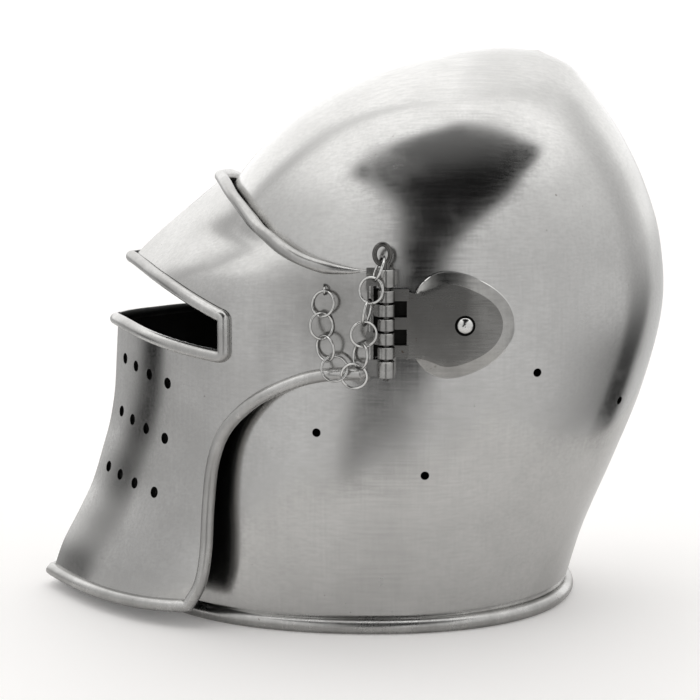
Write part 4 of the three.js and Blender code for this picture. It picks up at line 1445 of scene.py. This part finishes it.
@dataclass
class Studio:
    """Camera, pale floor and the light round the object."""

    distance: float = 1.2
    height: float = 0.359
    pitch: float = 10.49
    focal_pixels: float = 2158.0
    frame_pixels: float = 700.0
    sensor: float = 36.0
    low_panel: float = 0.74
    high_panel: float = 1.0
    ceiling: float = 1.5
    dark: float = 0.006
    # X and half width of each cross line of the floor, in millimetres.
    floor_plan: tuple[Pair, ...] = ((450, 270), (-900, 400), (-14000, 5400))
    # Colour of the floor in reflections and bounce light, darker than the near-white colour the camera sees:
    # painted shade on the floor that the steel mirrors.
    paper: tuple[float, ...] = (0.68, 0.67, 0.66, 1)
    paper_seen: tuple[float, ...] = (0.93, 0.915, 0.905, 1)
    backdrop: float = 1.2
    # Elevation and azimuth in degrees along both edges of the dark gap between the panels.
    left_edge: tuple[Pair, ...] = (
        (-30, -17), (-10, -16), (0, -10), (9, -7), (16, -8), (21, -9), (28, -11), (34, -15), (39, -22),
        (46, -36), (51, -56), (57, -62), (63, -54), (70, -36), (74, -8), (78, 30), (90, 60),
    )
    right_edge: tuple[Pair, ...] = (
        (-30, 4), (-10, 3), (0, 3), (6, 4), (12, 5), (17, 9), (22, 15), (30, 27), (41, 43), (45, 56),
        (48, 63), (53, 60), (64, 50), (73, 28), (78, -10), (90, -60),
    )

    def camera(self) -> None:
        """Sets the camera beside the wearer's left, looking slightly down."""
        data = bpy.data.cameras.new("camera")
        data.sensor_fit = "HORIZONTAL"
        data.sensor_width = self.sensor
        data.lens = self.sensor * self.focal_pixels / self.frame_pixels
        data.clip_start, data.clip_end = 0.05, 60
        camera = bpy.data.objects.new("camera", data)
        camera.location = (self.distance, 0, self.height)
        camera.rotation_euler = (math.radians(90 - self.pitch), 0, math.radians(90))
        bpy.context.scene.collection.objects.link(camera)
        bpy.context.scene.camera = camera

    def floor(self) -> None:
        """Lays the pale floor."""
        made = bpy.data.materials.new("floor_paper")
        made.use_nodes = True
        graph = Graph(made.node_tree)
        # Reflections and bounce light see the darker paper, as painted shade on the floor; the camera sees
        # it near white.
        seen = graph.node("ShaderNodeLightPath").outputs["Is Camera Ray"]
        paper = graph.blend(seen, self.paper, self.paper_seen)
        shader = graph.node("ShaderNodeBsdfPrincipled", {
            "Base Color": paper, "Roughness": 0.7, "Specular IOR Level": 0.2, "Emission Color": paper,
            "Emission Strength": 0.12,
        })
        graph.node("ShaderNodeOutputMaterial", {"Surface": shader.outputs[0]})
        draft = Draft()
        draft.grid([draft.add([Vector((x, -half, 0)), Vector((x, half, 0))]) for x, half in self.floor_plan])
        draft.build("floor", [made])

    def edge(self, graph: Graph, rise: Socket, places: Sequence[Pair]) -> Socket:
        """Adds one edge of the dark gap between the panels.

        Args:
            graph: the world's nodes.
            rise: elevation in degrees.
            places: pairs of elevation and azimuth, within 30 degrees down and 90 degrees either way.

        Returns:
            The edge's azimuth at that elevation.
        """
        low, high, side = 30, 90, 90
        share = graph.math("DIVIDE", graph.math("ADD", rise, low), low + high)
        node = graph.node("ShaderNodeFloatCurve", {"Value": share})
        curve = node.mapping.curves[0]
        points = [((height + low) / (low + high), (turn + side) / (2 * side)) for height, turn in places]
        curve.points[0].location, curve.points[1].location = points[0], points[-1]
        for point in points[1:-1]:
            curve.points.new(*point)
        node.mapping.update()
        return graph.math("MULTIPLY_ADD", node.outputs[0], 2 * side, -side)

    def light(self) -> None:
        """Paints the light as a function of azimuth and elevation, in degrees."""
        world = bpy.data.worlds.new("studio")
        bpy.context.scene.world = world
        world.use_nodes = True
        graph = Graph(world.node_tree)
        way = graph.node("ShaderNodeTexCoord").outputs["Generated"]
        x, y, z = graph.node("ShaderNodeSeparateXYZ", {0: way}).outputs
        turn = graph.math("DEGREES", graph.math("ARCTAN2", y, x))
        rise = graph.math("DEGREES", graph.math("ARCSINE", z))
        ramp, product = graph.ramp, graph.product

        def larger(first: Socket, second: Socket) -> Socket:
            """Larger of two values."""
            return graph.math("MAXIMUM", first, second)

        # Broad panels beside the camera, and a bright ceiling above them and behind.
        panel = product(ramp(rise, 2, 40, self.low_panel, self.high_panel), ramp(turn, -35, -75, 1, 0.84))
        behind = ramp(graph.math("ABSOLUTE", turn), 95, 135)
        lit = product(larger(ramp(rise, 31, 54), behind), ramp(rise, -6, 6))
        level = graph.mix(lit, panel, ramp(turn, 80, 130, self.ceiling, 0.88 * self.ceiling))
        # Dark gap between the panels, which opens like a funnel towards the ceiling.
        left, right = (self.edge(graph, rise, places) for places in (self.left_edge, self.right_edge))
        gap = graph.math("MINIMUM", graph.math("SUBTRACT", turn, left), graph.math("SUBTRACT", right, turn))
        gap = graph.math("MULTIPLY_ADD", gap, ramp(rise, 32, 60, 1, 0.5), ramp(rise, 30, 55, 2.5, -1))
        funnel = product(ramp(gap, -3.5, 4), ramp(rise, -14, -11), ramp(rise, 64, 44, 0.9, 1))
        # Dark band at the face's end, and another with a soft haze at the rear end.
        fore = product(ramp(turn, -128, -118), ramp(turn, -105, -112), ramp(rise, 20, -9, 0.35, 1),
                       ramp(rise, -22, -14))
        rear = product(ramp(turn, 86, 100), ramp(turn, 128, 115), ramp(rise, 8, -25, 0.2, 0.97))
        haze = product(ramp(turn, 35, 100), ramp(rise, -6, -22, 0, 0.6), ramp(turn, 135, 115))
        rear = product(larger(rear, haze), ramp(rise, -30.5, -26.5))
        painted = graph.mix(larger(funnel, larger(fore, rear)), level, self.dark)
        seen = graph.node("ShaderNodeLightPath").outputs["Is Camera Ray"]
        strength = graph.mix(seen, painted, self.backdrop)
        shine = graph.node("ShaderNodeBackground", {"Color": (1.0, 0.998, 0.992, 1), "Strength": strength})
        graph.node("ShaderNodeOutputWorld", {"Surface": shine.outputs[0]})

    def make(self) -> None:
        """Sets up the whole studio."""
        self.camera()
        self.floor()
        self.light()


def main() -> None:
    """Builds every piece in order and reports it."""
    logging.basicConfig(level=logging.INFO, format="%(message)s")
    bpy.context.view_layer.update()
    bpy.context.scene.view_settings.view_transform = "Standard"
    Studio().make()
    smithy, knuckles = Smithy(), Knuckles()
    skull = Skull(smithy)
    skull.make()
    Visor(smithy).make(knuckles)
    for side in Side:
        PivotRivet(smithy, side).make(skull)
        PivotPlate(smithy, side).make(knuckles)
        HingePin(smithy, side).make(knuckles)
        Chain(smithy, side).make()


if __name__ == "__main__":
    main()
